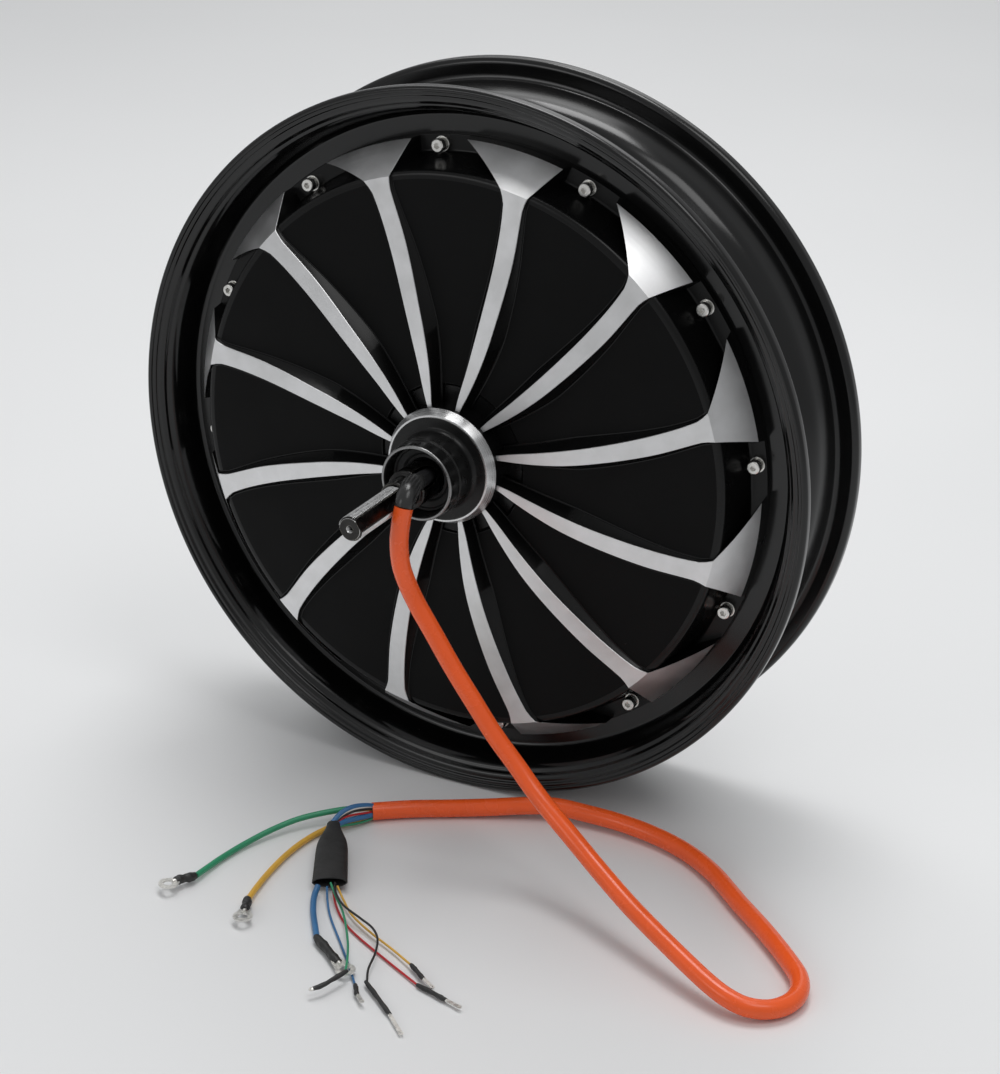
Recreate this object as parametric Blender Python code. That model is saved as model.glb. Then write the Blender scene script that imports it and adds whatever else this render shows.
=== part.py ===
"""A hub motor wheel: a wide drop-centre rim with the motor inside, between two bolted covers.

Units in this file are millimetres until a mesh is made. The wheel's axis is Y, the cable side faces -Y,
Z is up, and the origin is the wheel's centre. An angle round the axis starts at +Z and grows towards +X.
"""

import math

import bmesh
import bpy
from mathutils import Matrix, Vector

METRES = 0.001
GAP = 0.3

# Wheel: a 17 inch by 3.00 rim.
RIM_R = 232.3
RIM_HALF_WIDTH = 48.1
SEAT_R = 219.2
SEAT_HALF_WIDTH = 38.4
WELL_R = 201.2
LEDGE_Y = 19.4
BORE_R = 183.5
ROUND_SIDES = 48

# Covers.
COVER_R = 198.2
COVER_BACK_Y = LEDGE_Y + GAP
SHELF_Y = 23.4
PANEL_Y = 52.4
PANEL_R = 181.4
HUB_R = 37.0
HUB_TOP_R = 36.0
HUB_TOP_Y = 74.3
BOSS_R = 25.1
BOSS_END_Y = 99.2
SCREW_CIRCLE_R = 192.1
FIRST_SCREW_DEG = -6.45
SECTORS = 12
REAR_SCREWS = 8
SCREW_HOLE_R = 2.9
SCREW_SHANK_R = 2.4
SCREW_END_Y = 9.0

# Spokes of the front cover.
SPOKE_TOP_Y = 62.7
SPOKE_TOP_FALLS_FROM = 95.0
FOLD_R = 180.0
FOLD_Y = 53.3
FLARE_END_R = 197.7
FLARE_END_Y = 31.4
SPOKE_DRAFT = 4.6
SPOKE_STEPS = 6

# Axle.
THREAD_R = 8.0
COLLAR_R = 10.0
SEAT_SHAFT_R = 12.5
CORE_SHAFT_R = 15.5
AXLE_HALF_LENGTH = 178.9
COLLAR_END_Y = 125.6
SHOULDER_Y = 112.0
FLAT_HALF_GAP = 6.3
FLAT_NORMAL_DEG = 31.0
CABLE_SIDE_DEG = 41.6
CABLE_HOLE_R = 6.6
CABLE_HOLE_CROSSES_AXIS_Y = -74.0
CABLE_HOLE_TILT_DEG = 18.3

# Bearings and seals.
BEARING_IN_Y = 57.4
BEARING_OUT_Y = 72.4
BEARING_R = 25.7
BEARING_SIDES = 24
BALLS = 9
SEAL_IN_Y = 81.3
SEAL_OUT_Y = 89.6
SEAL_R = 21.0

# Magnetic parts.
STACK_HALF = 20.0
FLUX_IN_R = 176.3
MAGNET_IN_R = 172.8
MAGNETS = 40
STATOR_R = 171.9
SLOT_FLOOR_R = 146.0
STATOR_IN_R = 125.0
TEETH = 36

# Cable and wires.
CABLE_R = 5.7
SLEEVE_R = 6.2
PHASE_R = 1.9
HALL_R = 0.7

BLACK_PAINT = ("black_paint", (0.012, 0.012, 0.013), 0.35, 0.0)
MATTE_BLACK = ("matte_black", (0.015, 0.015, 0.016), 0.6, 0.0)
ALUMINIUM = ("aluminium", (0.75, 0.76, 0.77), 0.3, 1.0)
STEEL = ("steel", (0.5, 0.5, 0.5), 0.35, 1.0)
DARK_STEEL = ("dark_steel", (0.09, 0.09, 0.09), 0.35, 1.0)
ZINC = ("zinc", (0.7, 0.7, 0.69), 0.25, 1.0)
COPPER = ("copper", (0.6, 0.27, 0.12), 0.35, 1.0)
MAGNET_PLATE = ("magnet_nickel", (0.55, 0.54, 0.5), 0.3, 1.0)
BOARD = ("circuit_board", (0.02, 0.16, 0.07), 0.5, 0.0)
RUBBER = ("rubber", (0.02, 0.02, 0.02), 0.7, 0.0)
ORANGE = ("cable_orange", (0.85, 0.12, 0.02), 0.45, 0.0)
SHRINK = ("heat_shrink", (0.02, 0.02, 0.02), 0.55, 0.0)
TINNED = ("tinned_copper", (0.7, 0.7, 0.68), 0.3, 1.0)
GREEN = ("wire_green", (0.02, 0.35, 0.16), 0.45, 0.0)
YELLOW = ("wire_yellow", (0.75, 0.42, 0.03), 0.45, 0.0)
BLUE = ("wire_blue", (0.02, 0.12, 0.4), 0.45, 0.0)
RED = ("wire_red", (0.6, 0.03, 0.03), 0.45, 0.0)
BLACK_WIRE = ("wire_black", (0.015, 0.015, 0.015), 0.5, 0.0)


def clear_scene():
    for obj in list(bpy.data.objects):
        bpy.data.objects.remove(obj, do_unlink=True)


def own_material(name, kind):
    slot, colour, roughness, metallic = kind
    made = bpy.data.materials.new(f"{name}_{slot}")
    made.use_nodes = True
    shader = made.node_tree.nodes["Principled BSDF"]
    shader.inputs["Base Color"].default_value = (*colour, 1.0)
    shader.inputs["Roughness"].default_value = roughness
    shader.inputs["Metallic"].default_value = metallic
    made.diffuse_color = (*colour, 1.0)
    return made


def finish(name, bm, kind=None, smooth_below=35.0):
    """Turns a bmesh in millimetres into an object in metres. Without a kind it is a hidden helper."""
    bmesh.ops.recalc_face_normals(bm, faces=bm.faces)
    bmesh.ops.scale(bm, vec=(METRES, METRES, METRES), verts=bm.verts)
    mesh = bpy.data.meshes.new(name)
    bm.to_mesh(mesh)
    bm.free()
    obj = bpy.data.objects.new(name, mesh)
    bpy.context.scene.collection.objects.link(obj)
    if kind is None:
        obj.hide_render = True
        obj.display_type = "WIRE"
        return obj
    mesh.materials.append(own_material(name, kind))
    mesh.shade_smooth()
    mesh.set_sharp_from_angle(angle=math.radians(smooth_below))
    return obj


def at(radius, y, degrees):
    turn = math.radians(degrees)
    return Vector((radius * math.sin(turn), y, radius * math.cos(turn)))


def spin_profile(bm, profile, sides, closed):
    """Turns a profile of (radius, y) points round Y. Flats, not corners, face the four row axes."""
    rings = []
    for step in range(sides):
        degrees = (step + 0.5) * 360.0 / sides
        rings.append([bm.verts.new(at(radius, y, degrees)) for radius, y in profile])
    spans = len(profile) if closed else len(profile) - 1
    for step in range(sides):
        here = rings[step]
        there = rings[(step + 1) % sides]
        for index in range(spans):
            after = (index + 1) % len(profile)
            bm.faces.new((here[index], here[after], there[after], there[index]))
    if not closed:
        for index in (0, -1):
            bm.faces.new([ring[index] for ring in rings])


def turned_ring(name, profile, kind, sides=ROUND_SIDES):
    bm = bmesh.new()
    spin_profile(bm, profile, sides, closed=True)
    return finish(name, bm, kind)


def turned_rod(name, profile, kind, sides):
    bm = bmesh.new()
    spin_profile(bm, profile, sides, closed=False)
    return finish(name, bm, kind)


def mirrored(profile):
    return [(radius, -y) for radius, y in profile]


def plate_with_hole(bm, outer, inner, low_y, high_y):
    """A flat plate between two outlines of (x, z) points, from low_y to high_y."""
    edges = []
    for outline in (outer, inner):
        ring = [bm.verts.new((x, low_y, z)) for x, z in outline]
        count = len(ring)
        edges += [bm.edges.new((ring[i], ring[(i + 1) % count])) for i in range(count)]
    filled = bmesh.ops.triangle_fill(bm, edges=edges, use_beauty=True)
    faces = [part for part in filled["geom"] if isinstance(part, bmesh.types.BMFace)]
    raised = bmesh.ops.extrude_face_region(bm, geom=faces)
    moved = [part for part in raised["geom"] if isinstance(part, bmesh.types.BMVert)]
    bmesh.ops.translate(bm, verts=moved, vec=(0.0, high_y - low_y, 0.0))


def circle(radius, sides, first=0.5):
    steps = [2.0 * math.pi * (step + first) / sides for step in range(sides)]
    return [(radius * math.sin(turn), radius * math.cos(turn)) for turn in steps]


def add_rod(bm, start, end, radius, sides):
    """A plain cylinder between two points."""
    start = Vector(start)
    end = Vector(end)
    run = end - start
    middle = Matrix.Translation((start + end) / 2.0)
    turn = run.to_track_quat("Z", "Y").to_matrix().to_4x4()
    bmesh.ops.create_cone(
        bm, cap_ends=True, segments=sides, radius1=radius, radius2=radius,
        depth=run.length, matrix=middle @ turn,
    )


def add_box(bm, centre, size, turn_deg=0.0):
    """A box turned about the Y axis by turn_deg."""
    place = Matrix.Translation(centre) @ Matrix.Rotation(math.radians(turn_deg), 4, "Y")
    bmesh.ops.create_cube(bm, size=1.0, matrix=place @ Matrix.Diagonal((*size, 1.0)))


def loft(bm, sections):
    """A closed solid through sections that have the same number of points."""
    rings = [[bm.verts.new(point) for point in section] for section in sections]
    count = len(rings[0])
    for here, there in zip(rings, rings[1:]):
        for index in range(count):
            after = (index + 1) % count
            bm.faces.new((here[index], here[after], there[after], there[index]))
    bm.faces.new(rings[0])
    bm.faces.new(rings[-1])


def boolean(obj, helper, operation):
    modifier = obj.modifiers.new(f"{operation.lower()}_{helper.name}", "BOOLEAN")
    modifier.operation = operation
    modifier.object = helper
    modifier.solver = "EXACT"


def screw_angles(count):
    return [FIRST_SCREW_DEG + 360.0 / count * step for step in range(count)]


def rods_along_y(name, radius, low_y, high_y, circle_r, degrees_list, sides=8):
    bm = bmesh.new()
    for degrees in degrees_list:
        add_rod(bm, at(circle_r, low_y, degrees), at(circle_r, high_y, degrees), radius, sides)
    return finish(name, bm)


# ---------------------------------------------------------------------------------------------- rim


def rim_front_face():
    """From the front lip inwards to the ledge that the cover is bolted to, as (radius, y)."""
    return [
        (RIM_R, -46.4),
        (230.6, -RIM_HALF_WIDTH),
        (227.2, -47.0),
        (225.2, -44.4),
        (223.2, -44.4),
        (219.2, -41.4),
        (215.8, -38.8),
        (213.2, -34.0),
        (211.2, -22.6),
        (209.4, -LEDGE_Y),
        (BORE_R, -LEDGE_Y),
    ]


def rim_tyre_side():
    """The tyre side from the well to the rear lip, as (radius, y)."""
    return [
        (WELL_R, 4.8),
        (214.8, 14.8),
        (SEAT_R, 35.4),
        (222.0, SEAT_HALF_WIDTH),
        (230.2, SEAT_HALF_WIDTH),
        (RIM_R, 40.6),
    ]


def make_rim():
    front = rim_front_face()
    rear = mirrored(front)
    tyre_rear = rim_tyre_side()
    tyre_front = mirrored(tyre_rear)
    profile = front + rear[::-1] + tyre_rear[::-1] + tyre_front
    rim = turned_ring("rim", profile, BLACK_PAINT)
    bottom_y = LEDGE_Y - 12.5
    front_holes = rods_along_y(
        "rim_front_holes", SCREW_HOLE_R, -LEDGE_Y - 5.0, -bottom_y, SCREW_CIRCLE_R, screw_angles(SECTORS)
    )
    rear_holes = rods_along_y(
        "rim_rear_holes", SCREW_HOLE_R, bottom_y, LEDGE_Y + 5.0, SCREW_CIRCLE_R, screw_angles(REAR_SCREWS)
    )
    bm = bmesh.new()
    add_rod(bm, (0.0, 26.0, -206.0), (0.0, 26.0, -225.0), 5.8, 10)
    valve_hole = finish("rim_valve_hole", bm)
    for helper in (front_holes, rear_holes, valve_hole):
        boolean(rim, helper, "DIFFERENCE")


# ------------------------------------------------------------------------------------------- covers


def cover_inside():
    """The inner face of a cover, from the bearing seat out to its flange, as (radius, y) of the rear."""
    return [
        (15.0, SEAL_IN_Y - GAP),
        (15.0, BEARING_OUT_Y + GAP),
        (BEARING_R + GAP, BEARING_OUT_Y + GAP),
        (BEARING_R + GAP, BEARING_IN_Y - 3.0),
        (32.0, BEARING_IN_Y - 3.0),
        (34.0, 46.4),
        (172.0, 45.2),
        (180.2, COVER_BACK_Y),
        (COVER_R, COVER_BACK_Y),
    ]


def seal_pocket():
    return [
        (21.6, BOSS_END_Y),
        (21.3, SEAL_OUT_Y + 1.5),
        (21.3, SEAL_IN_Y - GAP),
    ]


def front_cover_outside():
    """The outer face, from the flange in to the boss that holds the seal, as (radius, y) of the rear."""
    return [
        (COVER_R, SHELF_Y),
        (186.6, SHELF_Y),
        (PANEL_R, 48.0),
        (176.0, 50.8),
        (150.0, PANEL_Y),
        (HUB_R, 53.4),
        (HUB_R, SPOKE_TOP_Y),
        (HUB_TOP_R, HUB_TOP_Y),
        (BOSS_R, HUB_TOP_Y),
        (BOSS_R, 88.3),
        (23.4, 89.3),
        (24.2, BOSS_END_Y),
    ]


def rear_cover_outside():
    return [
        (COVER_R, SHELF_Y),
        (186.6, SHELF_Y),
        (PANEL_R, 48.0),
        (150.0, PANEL_Y),
        (58.0, 54.4),
        (50.0, HUB_TOP_Y),
        (BOSS_R, HUB_TOP_Y),
        (BOSS_R, BOSS_END_Y),
    ]


def spoke_centre_deg(radius):
    """A spoke swings like a turbine blade: its middle line bends back on both sides of one radius."""
    away = radius - 81.3
    bend = 0.000408 if away > 0.0 else 0.001575
    return -6.37 - bend * away * away


def spoke_width(radius):
    return 12.2 * (1.0 - math.exp((28.0 - radius) / 36.0))


def spoke_top_y(radius):
    if radius < SPOKE_TOP_FALLS_FROM:
        return SPOKE_TOP_Y
    part = (radius - SPOKE_TOP_FALLS_FROM) / (FOLD_R - SPOKE_TOP_FALLS_FROM)
    return SPOKE_TOP_Y + (FOLD_Y - SPOKE_TOP_Y) * part


def spoke_section(radius, screw_deg):
    """Four points across a spoke: two on its top face, and two inside the panel, wider by the draft."""
    middle = screw_deg + spoke_centre_deg(radius)
    half = math.degrees(spoke_width(radius) / 2.0 / radius)
    foot = half + math.degrees(SPOKE_DRAFT * (1.0 if radius > 60.0 else 0.5) / radius)
    top = -spoke_top_y(radius)
    bottom = -PANEL_Y + 2.5
    return [
        at(radius, top, middle - half),
        at(radius, top, middle + half),
        at(radius, bottom, middle + foot),
        at(radius, bottom, middle - foot),
    ]


def flare_section(radius, top_y, screw_deg, left_deg, right_deg):
    bottom = -SHELF_Y + 2.0
    return [
        at(radius, -top_y, screw_deg + left_deg),
        at(radius, -top_y, screw_deg + right_deg),
        at(radius, bottom, screw_deg + right_deg),
        at(radius, bottom, screw_deg + left_deg),
    ]


def make_spokes():
    spokes = bmesh.new()
    flares = bmesh.new()
    first_r = HUB_R - 3.0
    for screw_deg in screw_angles(SECTORS):
        radii = [first_r + (FOLD_R - first_r) * step / SPOKE_STEPS for step in range(SPOKE_STEPS + 1)]
        loft(spokes, [spoke_section(radius, screw_deg) for radius in radii])
        loft(flares, [
            flare_section(176.0, FOLD_Y + 0.2, screw_deg, -12.6, -7.6),
            flare_section(FOLD_R, FOLD_Y, screw_deg, -13.1, -7.3),
            flare_section(FLARE_END_R, FLARE_END_Y, screw_deg, -23.5, -5.2),
        ])
    return finish("spoke_bars", spokes), finish("spoke_flares", flares)


def make_front_cover():
    outside = mirrored(front_cover_outside())
    profile = outside + mirrored(seal_pocket() + cover_inside())
    cover = turned_ring("front_cover", profile, MATTE_BLACK)
    for helper in make_spokes():
        boolean(cover, helper, "UNION")
    holes = rods_along_y(
        "front_cover_holes", SCREW_HOLE_R, -SHELF_Y - 20.0, -COVER_BACK_Y + 5.0, SCREW_CIRCLE_R,
        screw_angles(SECTORS),
    )
    boolean(cover, holes, "DIFFERENCE")


def make_rear_cover():
    profile = rear_cover_outside() + seal_pocket() + cover_inside()
    cover = turned_ring("rear_cover", profile, MATTE_BLACK)
    holes = rods_along_y(
        "rear_cover_holes", SCREW_HOLE_R, COVER_BACK_Y - 5.0, SHELF_Y + 5.0, SCREW_CIRCLE_R,
        screw_angles(REAR_SCREWS),
    )
    disc_holes = rods_along_y(
        "brake_disc_holes", 4.0, HUB_TOP_Y - 14.0, HUB_TOP_Y + 5.0, 38.5, [60.0 * step for step in range(6)]
    )
    boolean(cover, holes, "DIFFERENCE")
    boolean(cover, disc_holes, "DIFFERENCE")


def make_screw(name, degrees, side, washers=True):
    """A socket screw, head outwards, with or without its washers. side is -1 for the front."""
    head_y = SHELF_Y + GAP
    profile = [
        (2.2, head_y + 5.2),
        (2.2, head_y + 7.9),
        (4.3, head_y + 7.9),
        (4.3, head_y + 1.4),
        (5.0, head_y + 1.4),
        (5.0, head_y),
        (SCREW_SHANK_R, head_y),
        (SCREW_SHANK_R, SCREW_END_Y),
    ]
    if not washers:
        profile = [profile[0], profile[1], profile[2], (4.3, head_y), *profile[-2:]]
    bm = bmesh.new()
    spin_profile(bm, [(radius, side * y) for radius, y in profile], 8, closed=False)
    bmesh.ops.translate(bm, verts=bm.verts, vec=at(SCREW_CIRCLE_R, 0.0, degrees))
    finish(name, bm, ZINC)


def make_screws():
    for index, degrees in enumerate(screw_angles(SECTORS)):
        make_screw(f"front_cover_screw_{index + 1:02d}", degrees, -1.0)
    for index, degrees in enumerate(screw_angles(REAR_SCREWS)):
        make_screw(f"rear_cover_screw_{index + 1}", degrees, 1.0, washers=False)


# ---------------------------------------------------------------------------------- magnetic circuit


def make_flux_ring():
    outer_r = BORE_R - GAP
    half = STACK_HALF - 1.0
    turned_ring("flux_ring", [(outer_r, -half), (outer_r, half), (FLUX_IN_R, half), (FLUX_IN_R, -half)], STEEL)


def make_magnet_ring():
    """The magnets stand out from the thin sleeve that holds them, with a groove between neighbours."""
    outer = circle(FLUX_IN_R - GAP, ROUND_SIDES)
    inner = []
    pitch = 360.0 / MAGNETS
    for index in range(MAGNETS):
        for part, radius in ((0.06, FLUX_IN_R - 1.4), (0.12, MAGNET_IN_R), (0.94, MAGNET_IN_R)):
            point = at(radius, 0.0, (index + part) * pitch)
            inner.append((point.x, point.z))
    bm = bmesh.new()
    half = STACK_HALF - 1.5
    plate_with_hole(bm, outer, inner, -half, half)
    finish("magnet_ring", bm, MAGNET_PLATE)


def make_stator_core():
    pitch = 360.0 / TEETH
    outer = []
    for index in range(TEETH):
        for part, radius in ((-0.34, STATOR_R), (0.34, STATOR_R), (0.36, SLOT_FLOOR_R), (0.64, SLOT_FLOOR_R)):
            point = at(radius, 0.0, (index + part) * pitch)
            outer.append((point.x, point.z))
    bm = bmesh.new()
    plate_with_hole(bm, outer, circle(STATOR_IN_R, 36), -STACK_HALF, STACK_HALF)
    finish("stator_core", bm, STEEL)


def make_winding(name, side):
    """The end turns of the coils: a ring of rounded humps, one for each tooth."""
    bm = bmesh.new()
    rings = []
    for step in range(TEETH):
        rise = 9.5 if step % 2 else 7.0
        near = side * (STACK_HALF + GAP)
        far = side * (STACK_HALF + rise)
        shape = [(148.0, near), (150.0, far), (164.0, far), (167.0, near)]
        degrees = (step + 0.5) * 360.0 / TEETH
        rings.append([bm.verts.new(at(radius, y, degrees)) for radius, y in shape])
    for here, there in zip(rings, rings[1:] + rings[:1]):
        for index in range(4):
            after = (index + 1) % 4
            bm.faces.new((here[index], here[after], there[after], there[index]))
    finish(name, bm, COPPER)


def make_stator_spider():
    """A hub on the axle and a ring inside the core, joined by six arms."""
    outer_r = STATOR_IN_R - 1.0
    hub_r = CORE_SHAFT_R + 12.0
    bore_r = CORE_SHAFT_R + GAP
    spider = turned_ring(
        "stator_spider", [(outer_r, -14.0), (outer_r, 14.0), (112.0, 14.0), (112.0, -14.0)], ALUMINIUM, 36
    )
    bm = bmesh.new()
    spin_profile(bm, [(hub_r, -26.0), (hub_r, 26.0), (bore_r, 26.0), (bore_r, -26.0)], 24, closed=True)
    hub = finish("spider_hub", bm)
    bm = bmesh.new()
    for step in range(6):
        degrees = 60.0 * step
        add_box(bm, at(70.0, 0.0, degrees), (16.0, 18.0, 96.0), degrees)
    arms = finish("spider_arms", bm)
    boolean(hub, arms, "UNION")
    bore = bmesh.new()
    add_rod(bore, (0.0, -40.0, 0.0), (0.0, 40.0, 0.0), bore_r + 4.0, 24)
    boolean(arms, finish("spider_arm_bore", bore), "DIFFERENCE")
    boolean(spider, hub, "UNION")


def make_hall_board():
    """A curved board of hall sensors on the front of the stator, between the coils and the yoke."""
    bm = bmesh.new()
    near = -STACK_HALF - GAP
    sections = []
    for step in range(7):
        degrees = 150.0 + 10.0 * step
        sections.append([
            at(128.0, near, degrees),
            at(144.0, near, degrees),
            at(144.0, near - 1.6, degrees),
            at(128.0, near - 1.6, degrees),
        ])
    loft(bm, sections)
    finish("hall_board", bm, BOARD)


# --------------------------------------------------------------------------------- axle and bearings


def cable_hole_line():
    """Two far points on the slanted hole through which the leads cross the axle and leave it."""
    side = at(1.0, 0.0, 90.0 - CABLE_SIDE_DEG)
    tilt = math.radians(CABLE_HOLE_TILT_DEG)
    run = side * math.sin(tilt) + Vector((0.0, -math.cos(tilt), 0.0))
    crossing = Vector((0.0, CABLE_HOLE_CROSSES_AXIS_Y, 0.0))
    return crossing, run


def make_axle():
    half = [
        (2.2, AXLE_HALF_LENGTH),
        (6.6, AXLE_HALF_LENGTH),
        (THREAD_R, AXLE_HALF_LENGTH - 1.5),
        (THREAD_R, COLLAR_END_Y),
        (COLLAR_R - 1.0, COLLAR_END_Y),
        (COLLAR_R, COLLAR_END_Y - 1.0),
        (COLLAR_R, SHOULDER_Y),
        (SEAT_SHAFT_R, SHOULDER_Y),
        (SEAT_SHAFT_R, BEARING_IN_Y - GAP),
        (CORE_SHAFT_R, BEARING_IN_Y - GAP),
    ]
    drilled = [(0.6, AXLE_HALF_LENGTH - 5.0)]
    profile = mirrored(drilled + half) + (drilled + half)[::-1]
    axle = turned_rod("axle", profile, DARK_STEEL, 24)
    normal_deg = 90.0 - FLAT_NORMAL_DEG
    bm = bmesh.new()
    for end in (-1.0, 1.0):
        for side in (-1.0, 1.0):
            centre = at(side * (FLAT_HALF_GAP + 5.0), end * 160.0, normal_deg)
            add_box(bm, centre, (24.0, 60.0, 10.0), normal_deg)
    boolean(axle, finish("axle_flats", bm), "DIFFERENCE")
    crossing, run = cable_hole_line()
    bm = bmesh.new()
    add_rod(bm, crossing - run * 60.0, crossing + run * 60.0, CABLE_HOLE_R, 16)
    boolean(axle, finish("axle_cable_hole", bm), "DIFFERENCE")


def make_inner_leads():
    """The bundle of leads inside the slanted hole, from the motor to the mouth of the hole."""
    crossing, run = cable_hole_line()
    bm = bmesh.new()
    add_rod(bm, crossing - run * 38.0, crossing + run * 42.0, 5.0, 8)
    finish("inner_leads", bm, BLACK_WIRE)


def box_profile(in_r, out_r, near_y, far_y):
    return [(in_r, near_y), (out_r, near_y), (out_r, far_y), (in_r, far_y)]


def make_bearing(side, label):
    near = side * BEARING_IN_Y
    far = side * BEARING_OUT_Y
    inner = box_profile(SEAT_SHAFT_R + GAP, 16.6, near, far)
    outer = box_profile(21.8, BEARING_R, near, far)
    turned_ring(f"{label}_bearing_inner_ring", inner, STEEL, BEARING_SIDES)
    turned_ring(f"{label}_bearing_outer_ring", outer, STEEL, BEARING_SIDES)
    bm = bmesh.new()
    middle = (near + far) / 2.0
    rings = []
    for step in range(BALLS * 4):
        bulge = (0.0, 1.0, 1.0, 0.0)[step % 4]
        shape = box_profile(18.3 - 1.2 * bulge, 20.1 + 1.2 * bulge, middle - 1.6 - 2.0 * bulge, middle + 1.6 + 2.0 * bulge)
        degrees = (step + 0.5) * 90.0 / BALLS
        rings.append([bm.verts.new(at(radius, y, degrees)) for radius, y in shape])
    for here, there in zip(rings, rings[1:] + rings[:1]):
        for index in range(4):
            after = (index + 1) % 4
            bm.faces.new((here[index], here[after], there[after], there[index]))
    finish(f"{label}_bearing_balls", bm, STEEL)


def make_seal(side, label):
    profile = [
        (SEAL_R, side * SEAL_OUT_Y),
        (SEAL_R, side * SEAL_IN_Y),
        (16.0, side * SEAL_IN_Y),
        (SEAT_SHAFT_R + 0.5, side * (SEAL_IN_Y + 2.6)),
        (SEAT_SHAFT_R + 0.5, side * (SEAL_IN_Y + 3.6)),
        (17.0, side * SEAL_OUT_Y),
    ]
    turned_ring(f"{label}_seal", profile, RUBBER, BEARING_SIDES)


# ----------------------------------------------------------------------------------- cable and wires

SLEEVE_ROUTE = [
    (10.7, -117.4, 9.5), (13.2, -127.0, 11.6), (15.4, -135.8, 10.8), (16.1, -140.8, 7.4), (15.9, -142.6, 3.8),
]

CABLE_ROUTE = [
    (15.4, -143.4, 0.0), (14.0, -143.9, -9), (12.6, -143, -22), (12.8, -140, -38), (19, -137, -57),
    (32, -137, -77), (46, -138, -97), (60, -139, -115), (75, -140, -134), (91, -141, -151), (109, -145, -167),
    (139, -156, -184), (162, -167, -194), (184, -178, -202), (206, -189, -208), (229, -200, -214),
    (247, -208, -218.5), (260, -212, -221.5), (272, -212, -224), (283, -206.5, -225.5), (290, -196.5, -226),
    (292, -184.5, -226), (288.5, -172, -226), (280, -160, -226), (254, -134, -226), (226, -109.5, -226),
    (199, -85, -226), (174, -69, -226), (149, -61, -225), (124, -58, -224), (100, -59, -223), (79, -62, -222),
    (60, -69, -223), (38, -79, -225), (16, -90, -226), (-5, -102, -226), (-25, -116, -226),
]

NECK_ROUTE = [
    (-25.0, -118.8, -225.4), (-29.6, -125.3, -224.8), (-34.8, -132.5, -224.3), (-37.6, -138.4, -224.2),
    (-37.8, -142.6, -224.3),
]
BOOT_TOP = (-37.0, -144.4, -224.4)
BOOT_END = (-4.0, -204.6, -225.4)

# Sleeve radius, eye radius, hole radius and half the neck's width.
PHASE_LUG = (2.8, 5.8, 2.9, 3.0)
HALL_LUG = (1.4, 1.5, 0.6, 1.1)

PHASE_ROUTES = {
    "green": [(-27.8, -114.2, -225.0), (-41, -127, -223.5), (-59, -145, -225), (-70, -163, -227),
              (-78, -184, -229), (-82, -204, -229.5), (-83, -219, -229), (-83.2, -232.4, -228)],
    "yellow": [(-25.8, -116.6, -229.6), (-34, -127, -229.6), (-42, -141, -229.7), (-47, -160, -229.7),
               (-48.5, -180, -229.7), (-47.5, -201, -229.7), (-44.3, -223, -229.3), (-39.9, -241.2, -228)],
    "blue": [(-9.0, -210.5, -226.4), (-6.5, -219, -228.4), (0, -231, -229.7), (9, -244, -229.7),
             (17.6, -256, -229.4)],
}
PHASE_ENDS = {
    "green": [(-84.0, -234.0, -227.9), (-89.0, -244.4, -226.6), (-93.6, -256, -226)],
    "yellow": [(-39.8, -241.7, -228), (-34.6, -252.4, -227.3), (-29.4, -265.4, -226.7)],
    "blue": [(18.9, -257.3, -228.8), (39.5, -271.8, -228.6), (55.5, -281.8, -228.6)],
}
HALL_ROUTES = {
    "blue": [(-3.6, -208.6, -226.2), (3, -219, -229.5), (13, -232, -231), (34, -255, -231), (51, -274, -231),
             (63, -288.6, -230.3)],
    "green": [(-2.0, -206.8, -224.0), (7, -216, -226), (20, -229, -227.4), (37, -253, -226.8),
              (48, -272, -225.6), (54, -284.6, -225.3)],
    "red": [(-0.8, -206.6, -226.8), (8, -218, -230), (20, -230, -231), (36, -241, -231), (65, -256, -231),
            (94.3, -270.8, -230.6)],
    "black": [(0.6, -205.8, -223.6), (7, -216, -223.2), (18, -225.6, -223.6), (33, -232.5, -224),
              (45, -238, -224.5), (52.8, -245.4, -225.5), (58.6, -258, -226.5), (62.6, -273, -227.5),
              (67.6, -283.4, -228.6)],
    "yellow": [(1.8, -205.2, -226.2), (11, -214, -228), (24, -225.5, -229), (43, -236.5, -229.3),
               (63, -246, -229.5), (82, -256.5, -229)],
}
HALL_ENDS = {
    "blue": [(63.3, -289.0, -229.6), (68.4, -296.2, -229.2), (76, -303, -228.4)],
    "green": [(54.2, -285.2, -225.2), (49.6, -302.0, -225.6), (44.6, -309.4, -226.2)],
    "red": [(94.8, -271.1, -230.2), (113.6, -276.4, -229.9), (127, -280.2, -229.6)],
    "black": [(67.8, -283.9, -229.2), (93.2, -303.2, -229.9), (109.5, -317.6, -230.5)],
    "yellow": [(82.4, -256.7, -228.9), (93.4, -264.4, -229), (103.9, -270.2, -229.8)],
}


def smooth_points(route, spacing):
    """Points read from a Catmull-Rom curve through a route, about spacing apart."""
    points = [Vector(point) for point in route]
    points = [points[0] * 2.0 - points[1]] + points + [points[-1] * 2.0 - points[-2]]
    fine = []
    for before, start, end, after in zip(points, points[1:], points[2:], points[3:]):
        for step in range(12):
            part = step / 12.0
            fine.append(0.5 * (
                2.0 * start
                + (end - before) * part
                + (2.0 * before - 5.0 * start + 4.0 * end - after) * part ** 2
                + (3.0 * start - before - 3.0 * end + after) * part ** 3
            ))
    fine.append(points[-2])
    length = sum((b - a).length for a, b in zip(fine, fine[1:]))
    count = max(3, round(length / spacing))
    kept = [fine[0]]
    walked = 0.0
    for here, there in zip(fine, fine[1:]):
        step = (there - here).length
        while len(kept) < count and walked + step >= len(kept) * length / count:
            part = (len(kept) * length / count - walked) / step
            kept.append(here.lerp(there, part))
        walked += step
    kept.append(fine[-1])
    return kept


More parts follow.
